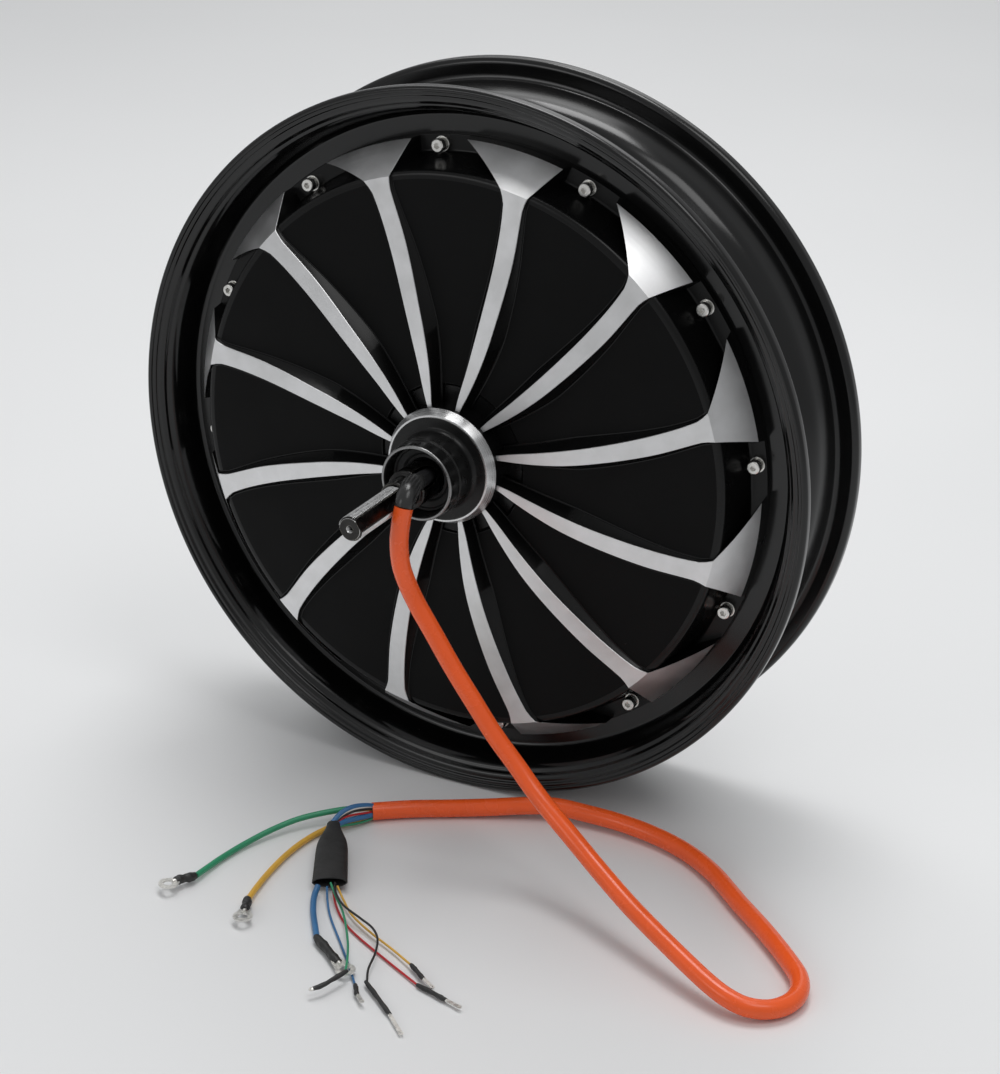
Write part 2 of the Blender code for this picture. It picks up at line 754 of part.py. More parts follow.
def make_tube(name, route, radius, spacing, kind):
    points = smooth_points(route, spacing)
    curve = bpy.data.curves.new(name, "CURVE")
    curve.dimensions = "3D"
    curve.bevel_depth = radius * METRES
    curve.bevel_resolution = 2
    curve.use_fill_caps = True
    spline = curve.splines.new("POLY")
    spline.points.add(len(points) - 1)
    for target, point in zip(spline.points, points):
        target.co = (*(point * METRES), 1.0)
    curve.materials.append(own_material(name, kind))
    obj = bpy.data.objects.new(name, curve)
    bpy.context.scene.collection.objects.link(obj)


def make_boot():
    """A flat, flared heat-shrink boot over the sensor wires and one phase wire."""
    top = Vector(BOOT_TOP)
    end = Vector(BOOT_END)
    run = (end - top).normalized()
    across = run.cross(Vector((0.0, 0.0, 1.0))).normalized()
    lift = across.cross(run)
    bm = bmesh.new()
    sections = []
    for part, wide, thick in ((0.0, 3.9, 3.0), (0.18, 6.2, 3.6), (0.42, 9.8, 3.9), (1.0, 10.8, 3.7)):
        centre = top.lerp(end, part)
        ring = []
        for step in range(8):
            turn = 2.0 * math.pi * step / 8
            ring.append(centre + across * (wide * math.cos(turn)) + lift * (thick * math.sin(turn)))
        sections.append(ring)
    loft(bm, sections)
    finish("wire_boot", bm, SHRINK)


def make_terminal(name, points, sleeve_r, ring_r, hole_r, neck):
    """A terminal in its heat-shrink sleeve: the sleeve, a flat neck, and an eye."""
    start, mid, tip = (Vector(point) for point in points)
    along = (tip - mid).normalized()
    across = along.cross(Vector((0.0, 0.0, 1.0))).normalized()
    lift = across.cross(along)
    reach = (tip - mid).length
    thick = max(0.5, ring_r * 0.1)
    bm = bmesh.new()
    outer = [(-neck, -1.0), (neck, -1.0)]
    for step in range(9):
        turn = math.radians(-35.0 + 250.0 * step / 8.0)
        outer.append((ring_r * math.cos(turn), reach - ring_r + ring_r * math.sin(turn)))
    inner = [(hole_r * math.sin(t * math.pi / 4.0), reach - ring_r + hole_r * math.cos(t * math.pi / 4.0)) for t in range(8)]
    plate_with_hole(bm, outer, inner, -thick, thick)
    frame = Matrix((across, lift, along)).transposed().to_4x4()
    bmesh.ops.transform(bm, matrix=Matrix.Translation(mid) @ frame, verts=bm.verts)
    eye = finish(f"{name}_eye", bm)
    bm = bmesh.new()
    add_rod(bm, start, mid + along * 0.6, sleeve_r, 8)
    sleeve = finish(name, bm, SHRINK)
    boolean(sleeve, eye, "UNION")


def make_cable():
    make_tube("cable_sleeve", SLEEVE_ROUTE, SLEEVE_R, 6.0, SHRINK)
    make_tube("cable_jacket", CABLE_ROUTE, CABLE_R, 22.0, ORANGE)
    make_tube("wire_neck", NECK_ROUTE, 2.5, 7.0, BLACK_WIRE)
    make_boot()
    phase_kinds = {"green": GREEN, "yellow": YELLOW, "blue": BLUE}
    for colour, route in PHASE_ROUTES.items():
        make_tube(f"phase_wire_{colour}", route, PHASE_R, 9.0, phase_kinds[colour])
        make_terminal(f"phase_terminal_{colour}", PHASE_ENDS[colour], *PHASE_LUG)
    hall_kinds = {"blue": BLUE, "green": GREEN, "red": RED, "black": BLACK_WIRE, "yellow": YELLOW}
    for colour, route in HALL_ROUTES.items():
        make_tube(f"hall_wire_{colour}", route, HALL_R, 8.0, hall_kinds[colour])
        make_terminal(f"hall_terminal_{colour}", HALL_ENDS[colour], *HALL_LUG)


def main():
    clear_scene()
    make_rim()
    make_front_cover()
    make_rear_cover()
    make_screws()
    make_flux_ring()
    make_magnet_ring()
    make_stator_core()
    make_winding("front_winding", -1.0)
    make_winding("rear_winding", 1.0)
    make_stator_spider()
    make_hall_board()
    make_axle()
    make_inner_leads()
    for side, label in ((-1.0, "front"), (1.0, "rear")):
        make_bearing(side, label)
        make_seal(side, label)
    make_cable()


main()
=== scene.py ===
"""The looks of a hub motor wheel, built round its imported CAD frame.

Sizes are in millimetres until a mesh or a curve is made. The wheel's axis is Y, the cable side faces -Y,
and Z is up. An angle round the axis starts at +Z and grows towards +X. Outlines of turned parts are lists of
(radius, y) or (radius, y, fillet), with y counted outwards from the wheel's middle, so that one list can
serve either side.
"""

import math

import bmesh
import bpy
from mathutils import Matrix, Vector


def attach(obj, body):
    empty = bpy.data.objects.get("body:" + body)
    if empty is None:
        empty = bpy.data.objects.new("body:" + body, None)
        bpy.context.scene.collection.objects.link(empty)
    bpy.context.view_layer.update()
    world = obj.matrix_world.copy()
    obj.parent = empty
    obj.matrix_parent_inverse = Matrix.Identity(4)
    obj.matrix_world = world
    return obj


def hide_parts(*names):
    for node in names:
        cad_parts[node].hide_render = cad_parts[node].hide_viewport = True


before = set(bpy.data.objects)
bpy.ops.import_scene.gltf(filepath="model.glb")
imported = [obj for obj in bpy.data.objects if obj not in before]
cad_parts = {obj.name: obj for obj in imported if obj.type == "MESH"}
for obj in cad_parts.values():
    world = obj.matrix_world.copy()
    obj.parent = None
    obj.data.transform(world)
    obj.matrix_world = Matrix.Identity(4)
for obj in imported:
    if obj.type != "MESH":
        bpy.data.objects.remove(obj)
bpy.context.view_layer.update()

MM = 0.001
FRONT = -1.0
REAR = 1.0
WHEEL = "wheel"
ROOT = "axle_group"
SECTORS = 12
REAR_SCREWS = 8
FIRST_SCREW_DEG = -6.45
SCREW_CIRCLE_R = 192.1
RIM_R = 232.3
COVER_R = 198.2
FLOOR_Z = -RIM_R
SHARP_DEG = 32.0
PANEL_EDGE_R = 181.4
SHELF_Y = 23.4
AXLE_END_Y = 178.9
FLAT_NORMAL_DEG = 59.0
CABLE_SIDE_DEG = 48.4
CABLE_HOLE_TILT_DEG = 18.3
CABLE_HOLE_CROSSES_Y = 74.0
CABLE_HOLE_R = 6.6


# ---------- materials


class Paint:
    """A Principled material and the few node shapes that the finishes here are made of."""

    def __init__(self, name, colour, roughness, metallic=0.0, **sockets):
        self.material = bpy.data.materials.new(name)
        self.material.use_nodes = True
        self.tree = self.material.node_tree
        self.shader = self.tree.nodes["Principled BSDF"]
        self.shader.inputs["Base Color"].default_value = (*colour, 1.0)
        self.shader.inputs["Roughness"].default_value = roughness
        self.shader.inputs["Metallic"].default_value = metallic
        for socket, value in sockets.items():
            self.shader.inputs[socket.replace("_", " ")].default_value = value
        self.place = self.node("TexCoord").outputs["Object"]
        self.normal = None

    def node(self, kind, **settings):
        made = self.tree.nodes.new(f"ShaderNode{kind}")
        for key, value in settings.items():
            setattr(made, key, value)
        return made

    def feed(self, target, value):
        if isinstance(value, bpy.types.NodeSocket):
            self.tree.links.new(value, target)
        else:
            target.default_value = value

    def maths(self, operation, first, second=0.0):
        made = self.node("Math", operation=operation)
        self.feed(made.inputs[0], first)
        self.feed(made.inputs[1], second)
        return made.outputs[0]

    def noise(self, size_mm, detail=3.0, seed=0.0):
        """Cloudy noise from about 0.3 to 0.7, whose blotches are about size_mm across."""
        place = self.node("Mapping")
        self.feed(place.inputs["Vector"], self.place)
        place.inputs["Location"].default_value = (seed, seed * 0.7, -seed)
        made = self.node("TexNoise")
        self.feed(made.inputs["Vector"], place.outputs[0])
        made.inputs["Scale"].default_value = 1.0 / (size_mm * MM)
        made.inputs["Detail"].default_value = detail
        return made.outputs[0]

    def spread(self, value, low, high, from_low=0.3, from_high=0.7):
        made = self.node("MapRange")
        self.feed(made.inputs["Value"], value)
        for key, number in (("From Min", from_low), ("From Max", from_high), ("To Min", low), ("To Max", high)):
            made.inputs[key].default_value = number
        return made.outputs[0]

    def mix(self, factor, first, second):
        made = self.node("Mix", data_type="RGBA")
        self.feed(made.inputs["Factor"], factor)
        self.feed(made.inputs[6], first if isinstance(first, bpy.types.NodeSocket) else (*first, 1.0))
        self.feed(made.inputs[7], second if isinstance(second, bpy.types.NodeSocket) else (*second, 1.0))
        return made.outputs[2]

    def radius(self):
        """The distance from the wheel's axis, in metres."""
        apart = self.node("SeparateXYZ")
        self.feed(apart.inputs[0], self.place)
        return self.maths("SQRT", self.maths(
            "ADD",
            self.maths("MULTIPLY", apart.outputs[0], apart.outputs[0]),
            self.maths("MULTIPLY", apart.outputs[2], apart.outputs[2]),
        ))

    def lines(self, along, size_mm, detail):
        """Noise that changes along one number only, such as the cutting lines on a turned face."""
        made = self.node("TexNoise", noise_dimensions="1D")
        self.feed(made.inputs["W"], along)
        made.inputs["Scale"].default_value = 1.0 / (size_mm * MM)
        made.inputs["Detail"].default_value = detail
        return made.outputs[0]

    def specks(self, cell_mm, size_mm, seed):
        """1 in small round specks, one to a cell, and 0 between them."""
        place = self.node("Mapping")
        self.feed(place.inputs["Vector"], self.place)
        place.inputs["Location"].default_value = (seed, seed, seed)
        made = self.node("TexVoronoi")
        self.feed(made.inputs["Vector"], place.outputs[0])
        made.inputs["Scale"].default_value = 1.0 / (cell_mm * MM)
        return self.maths("LESS_THAN", made.outputs["Distance"], size_mm / cell_mm / 2.0)

    def worn_edges(self, radius_mm):
        """Near 1 on convex edges and 0 on flat faces."""
        bevel = self.node("Bevel", samples=6)
        bevel.inputs["Radius"].default_value = radius_mm * MM
        plain = self.node("NewGeometry")
        dot = self.node("VectorMath", operation="DOT_PRODUCT")
        self.feed(dot.inputs[0], bevel.outputs[0])
        self.feed(dot.inputs[1], plain.outputs["Normal"])
        return self.spread(dot.outputs["Value"], 1.0, 0.0, 0.90, 0.985)

    def colour(self, value):
        self.feed(self.shader.inputs["Base Color"], value)
        return self

    def rough(self, value):
        self.feed(self.shader.inputs["Roughness"], value)
        return self

    def bump(self, height, depth_mm):
        made = self.node("Bump")
        self.feed(made.inputs["Height"], height)
        made.inputs["Distance"].default_value = depth_mm * MM
        if self.normal:
            self.feed(made.inputs["Normal"], self.normal)
        self.normal = made.outputs[0]
        self.feed(self.shader.inputs["Normal"], self.normal)
        return self

    def turned(self, strength):
        """Highlights drawn out across the cutting lines of a lathe, which run round the axis."""
        tangent = self.node("Tangent", direction_type="RADIAL", axis="Y")
        self.feed(self.shader.inputs["Tangent"], tangent.outputs[0])
        self.shader.inputs["Anisotropic"].default_value = strength
        self.shader.inputs["Anisotropic Rotation"].default_value = 0.25
        return self


def black_paint(name, base, low, high, grain_mm, grain_depth_mm, dust_mm, gloss):
    """Black paint with smudges in its gloss, a fine skin and a little dust."""
    paint = Paint(name, (base,) * 3, (low + high) / 2.0, Specular_IOR_Level=gloss)
    paint.rough(paint.spread(paint.noise(38.0, 4.0), low, high))
    tone = paint.mix(paint.noise(90.0, 2.0, seed=3.0), (base * 0.75,) * 3, (base * 1.3, base * 1.3, base * 1.35))
    dusty = paint.maths("GREATER_THAN", paint.noise(60.0, 2.0, seed=8.0), 0.56)
    dust = paint.maths("MULTIPLY", paint.specks(11.0, dust_mm, 1.3), dusty)
    paint.colour(paint.mix(dust, tone, (0.22, 0.21, 0.2)))
    paint.bump(paint.noise(grain_mm, 2.0), grain_depth_mm)
    return paint.material


def bright_turned(name, low, high, tone, anisotropy, line_mm):
    """Bare aluminium, cut on a lathe: fine rings under a soft mottle."""
    paint = Paint(name, (tone,) * 3, (low + high) / 2.0, 1.0)
    rings = paint.lines(paint.radius(), line_mm, 3.0)
    mottle = paint.noise(16.0, 5.0, seed=2.0)
    paint.rough(paint.spread(paint.maths("ADD", rings, mottle), low, high, 0.75, 1.25))
    paint.colour(paint.mix(paint.spread(mottle, 0.0, 1.0), (tone * 0.86,) * 3, (tone, tone, tone * 1.01)))
    paint.bump(rings, 0.0012)
    paint.bump(paint.noise(2.5, 2.0, seed=5.0), 0.0015)
    return paint.turned(anisotropy).material


def plain_metal(name, colour, low, high, size_mm, depth_mm):
    """Bare metal with a cloudy colour and gloss, and a fine uneven surface."""
    paint = Paint(name, colour, (low + high) / 2.0, 1.0)
    cloud = paint.noise(size_mm, 4.0)
    paint.rough(paint.spread(cloud, low, high))
    paint.colour(paint.mix(paint.spread(cloud, 0.0, 1.0), [part * 0.8 for part in colour], colour))
    return paint.bump(paint.noise(size_mm / 6.0, 2.0), depth_mm).material


def worn_black_steel(name):
    """Blackened steel whose edges have rubbed bright, with a little oil."""
    paint = Paint(name, (0.06, 0.06, 0.06), 0.3, 1.0)
    patches = paint.spread(paint.noise(7.0, 4.0), 0.45, 1.0)
    edges = paint.maths("MULTIPLY", paint.worn_edges(0.4), patches)
    skin = paint.mix(paint.noise(9.0, 4.0), (0.022, 0.022, 0.024), (0.06, 0.058, 0.055))
    paint.colour(paint.mix(edges, skin, (0.42, 0.4, 0.34)))
    paint.rough(paint.spread(paint.noise(5.0, 4.0, seed=4.0), 0.2, 0.34))
    return paint.bump(paint.noise(0.9, 3.0), 0.003).material


def worn_black_boss(name):
    """Satin black over steel, with its lips rubbed bright: lighter metallic edges, partly wear and partly a
    painted highlight.
    """
    paint = Paint(name, (0.005, 0.005, 0.005), 0.3, 0.0, Specular_IOR_Level=0.3)
    patches = paint.spread(paint.noise(5.0, 5.0), 0.0, 1.0, 0.36, 0.56)
    # Lighter metallic convex edges: partly wear, partly a painted highlight on the lips.
    edges = paint.maths("MULTIPLY", paint.worn_edges(0.6), patches)
    skin = paint.mix(paint.noise(14.0, 3.0), (0.003,) * 3, (0.008,) * 3)
    paint.colour(paint.mix(edges, skin, (0.45, 0.44, 0.42)))
    paint.feed(paint.shader.inputs["Metallic"], edges)
    paint.rough(paint.spread(paint.noise(6.0, 4.0, seed=4.0), 0.24, 0.36))
    paint.bump(paint.lines(paint.radius(), 0.4, 2.0), 0.0015)
    return paint.turned(0.5).material


def moulded(name, colour, low, high, grain_mm, depth_mm, marks):
    """Plastic or rubber skin: slight cloudiness of colour, smudged gloss and a fine uneven surface."""
    paint = Paint(name, colour, (low + high) / 2.0)
    cloud = paint.spread(paint.noise(22.0, 4.0), 0.0, 1.0)
    darker, lighter = ([part * (1.0 + change) for part in colour] for change in (-marks, marks))
    paint.colour(paint.mix(cloud, darker, lighter))
    paint.rough(paint.spread(paint.noise(9.0, 4.0, seed=2.0), low, high))
    return paint.bump(paint.noise(grain_mm, 3.0), depth_mm).material


def shrunk_sleeve(name, lump_mm, low, high):
    """Heat-shrink sleeve: soft lumps over what is beneath, and a dull sheen."""
    paint = Paint(name, (0.018, 0.018, 0.019), 0.5)
    paint.rough(paint.spread(paint.noise(5.0, 3.0), low, high))
    paint.colour(paint.mix(paint.noise(8.0, 3.0), (0.012,) * 3, (0.03,) * 3))
    paint.bump(paint.noise(3.5, 2.0), lump_mm)
    return paint.bump(paint.noise(0.5, 2.0, seed=2.0), 0.02).material


def wound_copper(name):
    """Enamelled copper wire, seen as strands that run round the axis."""
    paint = Paint(name, (0.55, 0.2, 0.07), 0.35, 1.0)
    strands = paint.lines(paint.radius(), 1.1, 0.0)
    paint.colour(paint.mix(strands, (0.3, 0.09, 0.03), (0.7, 0.3, 0.12)))
    return paint.bump(strands, 0.3).material


def stacked_steel(name):
    """Thin laminations, seen as fine lines across the stack."""
    paint = Paint(name, (0.42, 0.41, 0.4), 0.42, 1.0)
    apart = paint.node("SeparateXYZ")
    paint.feed(apart.inputs[0], paint.place)
    leaves = paint.lines(apart.outputs[1], 0.5, 0.0)
    paint.colour(paint.mix(leaves, (0.26, 0.25, 0.24), (0.5, 0.49, 0.48)))
    return paint.bump(leaves, 0.05).material


# Tone, roughness from and to, grain size and depth, dust size, gloss.
BLACK_PAINTS = {
    "rim_paint": (0.0028, 0.16, 0.22, 2.4, 0.0005, 0.3, 0.5),
    "panel_paint": (0.0035, 0.46, 0.56, 0.35, 0.008, 0.25, 0.1),
    "wall_paint": (0.003, 0.22, 0.3, 1.6, 0.001, 0.3, 0.26),
}
# Roughness from and to, tone, anisotropy, spacing of the cutting lines.
TURNED_METALS = {
    "machined": (0.34, 0.42, 0.8, 0.5, 0.55),
    "hub_machined": (0.24, 0.32, 0.76, 0.85, 0.3),
}
# Colour, roughness from and to, cloud size, bump depth.
PLAIN_METALS = {
    # The boss's lip: lighter bare metal, partly wear and partly a painted highlight line.
    "worn_lip": ((0.3, 0.3, 0.3), 0.24, 0.36, 3.0, 0.002),
    "thread_crest": ((0.72, 0.72, 0.72), 0.22, 0.34, 3.0, 0.002),
    "zinc": ((0.8, 0.79, 0.76), 0.16, 0.3, 3.0, 0.01),
    "ground_steel": ((0.55, 0.55, 0.55), 0.2, 0.35, 4.0, 0.01),
    "cast_aluminium": ((0.62, 0.62, 0.62), 0.4, 0.55, 2.0, 0.05),
    "tin": ((0.84, 0.83, 0.79), 0.36, 0.5, 2.0, 0.004),
    "nickel": ((0.62, 0.6, 0.55), 0.24, 0.36, 6.0, 0.01),
}
WIRE_SKIN = (0.34, 0.46, 1.0, 0.008, 0.12)
# Colour, roughness from and to, grain size and depth, strength of the marks.
PLASTICS = {
    "board": ((0.02, 0.16, 0.07), 0.35, 0.5, 1.0, 0.02, 0.12),
    "rubber": ((0.018, 0.018, 0.018), 0.5, 0.68, 0.6, 0.02, 0.12),
    "orange": ((0.93, 0.118, 0.019), 0.22, 0.3, 3.5, 0.006, 0.04),
    "green": ((0.03, 0.28, 0.14), *WIRE_SKIN),
    "yellow": ((0.7, 0.4, 0.06), *WIRE_SKIN),
    "blue": ((0.04, 0.155, 0.34), *WIRE_SKIN),
    "red": ((0.5, 0.015, 0.02), *WIRE_SKIN),
    "black": ((0.014, 0.014, 0.015), 0.34, 0.46, 1.0, 0.02, 0.12),
    "white": ((0.62, 0.61, 0.57), 0.34, 0.46, 1.0, 0.02, 0.12),
}
# Depth of the lumps, roughness from and to.
SHRUNK_SLEEVES = {
    "shrink": (0.25, 0.38, 0.62),
    "shrink_smooth": (0.02, 0.18, 0.28),
    "shrink_boot": (0.1, 0.5, 0.66),
}
MATERIALS = {
    "boss": worn_black_boss("boss"), "black_steel": worn_black_steel("black_steel"),
    "copper": wound_copper("copper"), "laminations": stacked_steel("laminations"),
}
for finish, table in (
    (black_paint, BLACK_PAINTS), (bright_turned, TURNED_METALS), (plain_metal, PLAIN_METALS),
    (moulded, PLASTICS), (shrunk_sleeve, SHRUNK_SLEEVES),
):
    MATERIALS.update({name: finish(name, *settings) for name, settings in table.items()})


# ---------- mesh helpers


def at(radius, y, degrees):
    """The point at a radius and an angle round the axis."""
    turn = math.radians(degrees)
    return Vector((radius * math.sin(turn), y, radius * math.cos(turn)))


def rounded(corners, steps=4):
    """An open outline through corners (u, v) or (u, v, fillet), with each fillet as a short arc."""
    points = []
    for index, corner in enumerate(corners):
        here = Vector(corner[:2])
        fillet = corner[2] if len(corner) > 2 else 0.0
        if not fillet or index in (0, len(corners) - 1):
            points.append(here)
            continue
        back = Vector(corners[index - 1][:2]) - here
        onward = Vector(corners[index + 1][:2]) - here
        reach = min(fillet, 0.48 * back.length, 0.48 * onward.length)
        start = here + back.normalized() * reach
        end = here + onward.normalized() * reach
        for step in range(steps + 1):
            part = step / steps
            points.append(start * (1 - part) ** 2 + here * 2 * part * (1 - part) + end * part ** 2)
    return [tuple(point) for point in points]


def mesh_of(name, bm):
    """The mesh, in metres, of a bmesh drawn in millimetres."""
    bmesh.ops.recalc_face_normals(bm, faces=bm.faces)
    bmesh.ops.scale(bm, vec=(MM, MM, MM), verts=bm.verts)
    mesh = bpy.data.meshes.new(name)
    bm.to_mesh(mesh)
    bm.free()
    return mesh


def shade(mesh, sharp_deg=SHARP_DEG):
    """Smooth shading, with the edges that turn more than sharp_deg kept sharp."""
    mesh.shade_smooth()
    mesh.set_sharp_from_angle(angle=math.radians(sharp_deg))


def make_piece(name, bm, materials, body, replaced=(), sharp_deg=SHARP_DEG):
    """Makes a bmesh in millimetres into a piece that rides on a body."""
    mesh = mesh_of(name, bm)
    for material in materials:
        mesh.materials.append(MATERIALS[material])
    shade(mesh, sharp_deg)
    return place_piece(bpy.data.objects.new(name, mesh), body, replaced)


def place_piece(obj, body, replaced=()):
    bpy.context.scene.collection.objects.link(obj)
    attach(obj, body)
    if replaced:
        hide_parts(*replaced)
    return obj


def cut(obj, bm):
    """Takes the closed solids of a bmesh out of a piece and keeps the result as its mesh."""
    cutter = bpy.data.objects.new("cutter", mesh_of("cutter", bm))
    bpy.context.scene.collection.objects.link(cutter)
    modifier = obj.modifiers.new("cut", "BOOLEAN")
    modifier.operation = "DIFFERENCE"
    modifier.object = cutter
    modifier.solver = "EXACT"
    bpy.context.view_layer.update()
    mesh = bpy.data.meshes.new_from_object(obj.evaluated_get(bpy.context.evaluated_depsgraph_get()))
    obj.modifiers.clear()
    obj.data = mesh
    shade(mesh)
    bpy.data.objects.remove(cutter)


def bridge(bm, rings, caps=(0, -1)):
    """Joins each ring of vertices to the next one and closes the rings in caps. It gives the faces by row."""
    rows = []
    for here, there in zip(rings, rings[1:]):
        faces = []
        for step in range(len(here)):
            after = (step + 1) % len(here)
            faces.append(bm.faces.new((here[step], here[after], there[after], there[step])))
        rows.append(faces)
    for index in caps:
        bm.faces.new(rings[index])
    return rows


def level_axes(run):
    """Two directions across a run: sideways, which is level, and lift."""
    sideways = run.cross(Vector((0.0, 0.0, 1.0))).normalized()
    return sideways, sideways.cross(run).normalized()


def lathe(bm, outline, side, sides=240, closed=True, material_of=None):
    """Turns an outline of (radius, y) round the axis. side is -1 for the front and 1 for the rear."""
    rings = []
    for step in range(sides):
        degrees = 360.0 * step / sides
        rings.append([bm.verts.new(at(radius, side * y, degrees)) for radius, y in outline])
    spans = len(outline) if closed else len(outline) - 1
    for step in range(sides):
        here, there = rings[step], rings[(step + 1) % sides]
        for index in range(spans):
            after = (index + 1) % len(outline)
            face = bm.faces.new((here[index], here[after], there[after], there[index]))
            if material_of:
                middle = [(a + b) / 2.0 for a, b in zip(outline[index], outline[after])]
                face.material_index = material_of(*middle)
    if not closed:
        for index in (0, -1):
            bm.faces.new([ring[index] for ring in rings])


def turned(name, outline, side, materials, body, replaced=(), sides=240, closed=True, material_of=None):
    bm = bmesh.new()
    lathe(bm, outline, side, sides, closed, material_of)
    return make_piece(name, bm, materials, body, replaced)


def rod(bm, start, end, radius, sides=32, end_radius=None):
    start, end = Vector(start), Vector(end)
    run = end - start
    place = Matrix.Translation((start + end) / 2.0) @ run.to_track_quat("Z", "Y").to_matrix().to_4x4()
    bmesh.ops.create_cone(
        bm, cap_ends=True, segments=sides, radius1=radius,
        radius2=radius if end_radius is None else end_radius, depth=run.length, matrix=place,
    )


def curve_through(points, spacing):
    """Points about spacing apart on a Catmull-Rom curve through given points."""
    points = [Vector(point) for point in points]
    points = [points[0] * 2.0 - points[1]] + points + [points[-1] * 2.0 - points[-2]]
    made = []
    for before, start, end, after in zip(points, points[1:], points[2:], points[3:]):
        count = max(2, round((end - start).length / spacing))
        for step in range(count):
            part = step / count
            made.append(0.5 * (
                2.0 * start
                + (end - before) * part
                + (2.0 * before - 5.0 * start + 4.0 * end - after) * part ** 2
                + (3.0 * start - before - 3.0 * end + after) * part ** 3
            ))
    made.append(points[-2])
    return made


def between(table, key):
    """A smooth value from rows of (key, value, ...): a Catmull-Rom curve through the rows."""
    rows = [table[0]] + list(table) + [table[-1]]
    for index in range(1, len(rows) - 2):
        if key <= rows[index + 1][0] or index == len(rows) - 3:
            break
    before, start, end, after = (Vector(row[1:]) for row in rows[index - 1:index + 3])
    span = rows[index + 1][0] - rows[index][0]
    part = (key - rows[index][0]) / span
    slope_in = (end - before) * span / (rows[index + 1][0] - rows[index - 1][0])
    slope_out = (after - start) * span / (rows[index + 2][0] - rows[index][0])
    square, cube = part * part, part ** 3
    return (
        start * (2 * cube - 3 * square + 1) + slope_in * (cube - 2 * square + part)
        + end * (3 * square - 2 * cube) + slope_out * (cube - square)
    )


# ---------- rim

RIM_SIDE = [
    (201.2, 0.0), (201.2, 4.6, 5.0), (214.6, 15.0, 6.0), (218.6, 37.4, 2.5), (221.4, 38.4, 2.0),
    (229.6, 38.4, 3.0), (RIM_R, 40.6, 2.0), (RIM_R, 46.4, 1.4), (230.6, 48.1, 1.2), (228.7, 47.9, 0.8),
    (228.4, 46.7, 0.5), (226.4, 46.6, 1.0), (225.7, 45.0, 0.8), (223.9, 44.8, 0.6), (221.6, 43.8, 1.2),
    (220.6, 41.2, 1.0), (218.4, 40.2, 0.8), (216.3, 37.4, 2.0), (214.6, 32.0, 5.0), (211.9, 21.0, 1.2),
    (209.6, 19.4, 0.8), (183.5, 19.4), (183.5, 0.0),
]
VALVE_Y = 26.0
VALVE_HOLE_R = 5.7


def make_rim():
    front = rounded(RIM_SIDE)
    outline = [(radius, -y) for radius, y in front] + front[::-1][1:-1]
    rim = turned("rim_body", outline, REAR, ["rim_paint"], WHEEL, ["rim"], 360)
    bm = bmesh.new()
    rod(bm, (0.0, VALVE_Y, -205.0), (0.0, VALVE_Y, -226.0), VALVE_HOLE_R)
    cut(rim, bm)


# ---------- front cover

DISH = [
    (COVER_R, 19.7), (COVER_R, SHELF_Y, 0.5), (187.4, SHELF_Y, 1.6), (182.6, 45.0),
    (PANEL_EDGE_R + 0.2, 50.6, 4.5), (174.0, 51.4, 3.0), (150.0, 52.4, 20.0), (50.5, 53.3),
    (49.6, 53.3, 0.5), (48.6, 51.6, 0.8), (36.6, 51.2),
]
DISH_BACK = [(36.6, 47.0), (172.0, 47.0), (178.0, 44.0), (184.0, 19.7)]
HUB_CONE = [(33.6, 47.5), (37.6, 47.5), (37.6, 66.0, 0.15), (34.7, 72.1, 0.2), (33.6, 72.1)]
HUB_FACE = [
    (33.5, 66.0), (33.5, 72.0, 0.2), (31.0, 72.1), (26.4, 72.2, 1.6), (25.1, 74.6, 0.8), (25.1, 87.8, 0.3),
    (24.4, 88.3, 0.2), (24.1, 89.3, 0.2), (24.6, 90.2, 0.3), (24.6, 97.9, 0.8), (23.9, 99.4, 0.5),
    (22.4, 99.4, 0.4), (21.6, 98.4, 0.3), (21.4, 80.8), (21.4, 66.0),
]
# Radius, top y, left degrees and right degrees, counted from the sector's screw.
SPOKE = [
    (34.0, 62.7, -11.7, -8.2), (39.5, 62.7, -11.7, -7.1), (48.8, 62.7, -11.1, -5.0), (62.7, 62.7, -10.0, -3.55),
    (81.3, 62.7, -9.5, -3.2), (104.5, 61.6, -9.5, -3.95), (139.4, 57.8, -10.2, -5.5), (171.9, 54.0, -11.7, -7.5),
    (180.0, 53.2, -13.0, -7.3),
]
FLARE_END = (197.7, 31.4, -23.7, -5.0)
SPOKE_ROWS = 36
FLARE_ROWS = 12
SPOKE_ACROSS = 14
WALL_POINTS = 6
WALL_LEAN = 0.5
FOLD_R = SPOKE[-1][0]
# Where the matt panel starts and ends, where the hub's cone is bare, and where its lip is bare metal: partly
# worn, partly a painted highlight.
PANEL_FROM_R, PANEL_TO_R = 50.0, PANEL_EDGE_R - 5.0
CONE_BARE_Y = 65.0
LIP_R, LIP_Y = 22.6, 98.7
PANEL_CORNERS = sorted(corner[:2] for corner in DISH[2:8])


def dish_y(radius):
    """How far out the black dish stands at a radius."""
    if radius <= PANEL_CORNERS[0][0]:
        return PANEL_CORNERS[0][1]
    for low, high in zip(PANEL_CORNERS, PANEL_CORNERS[1:]):
        if radius <= high[0]:
            return low[1] + (high[1] - low[1]) * (radius - low[0]) / (high[0] - low[0])
    return SHELF_Y


def spoke_stations():
    """(radius, top y, left degrees, right degrees) from the hub out along a spoke and down its flare."""
    stations = []
    for step in range(SPOKE_ROWS + 1):
        radius = SPOKE[0][0] + (FOLD_R - SPOKE[0][0]) * step / SPOKE_ROWS
        stations.append((radius, *between(SPOKE, radius)))
    fold = Vector(SPOKE[-1])
    for step in range(1, FLARE_ROWS + 1):
        stations.append(tuple(fold.lerp(Vector(FLARE_END), step / FLARE_ROWS)))
    return stations


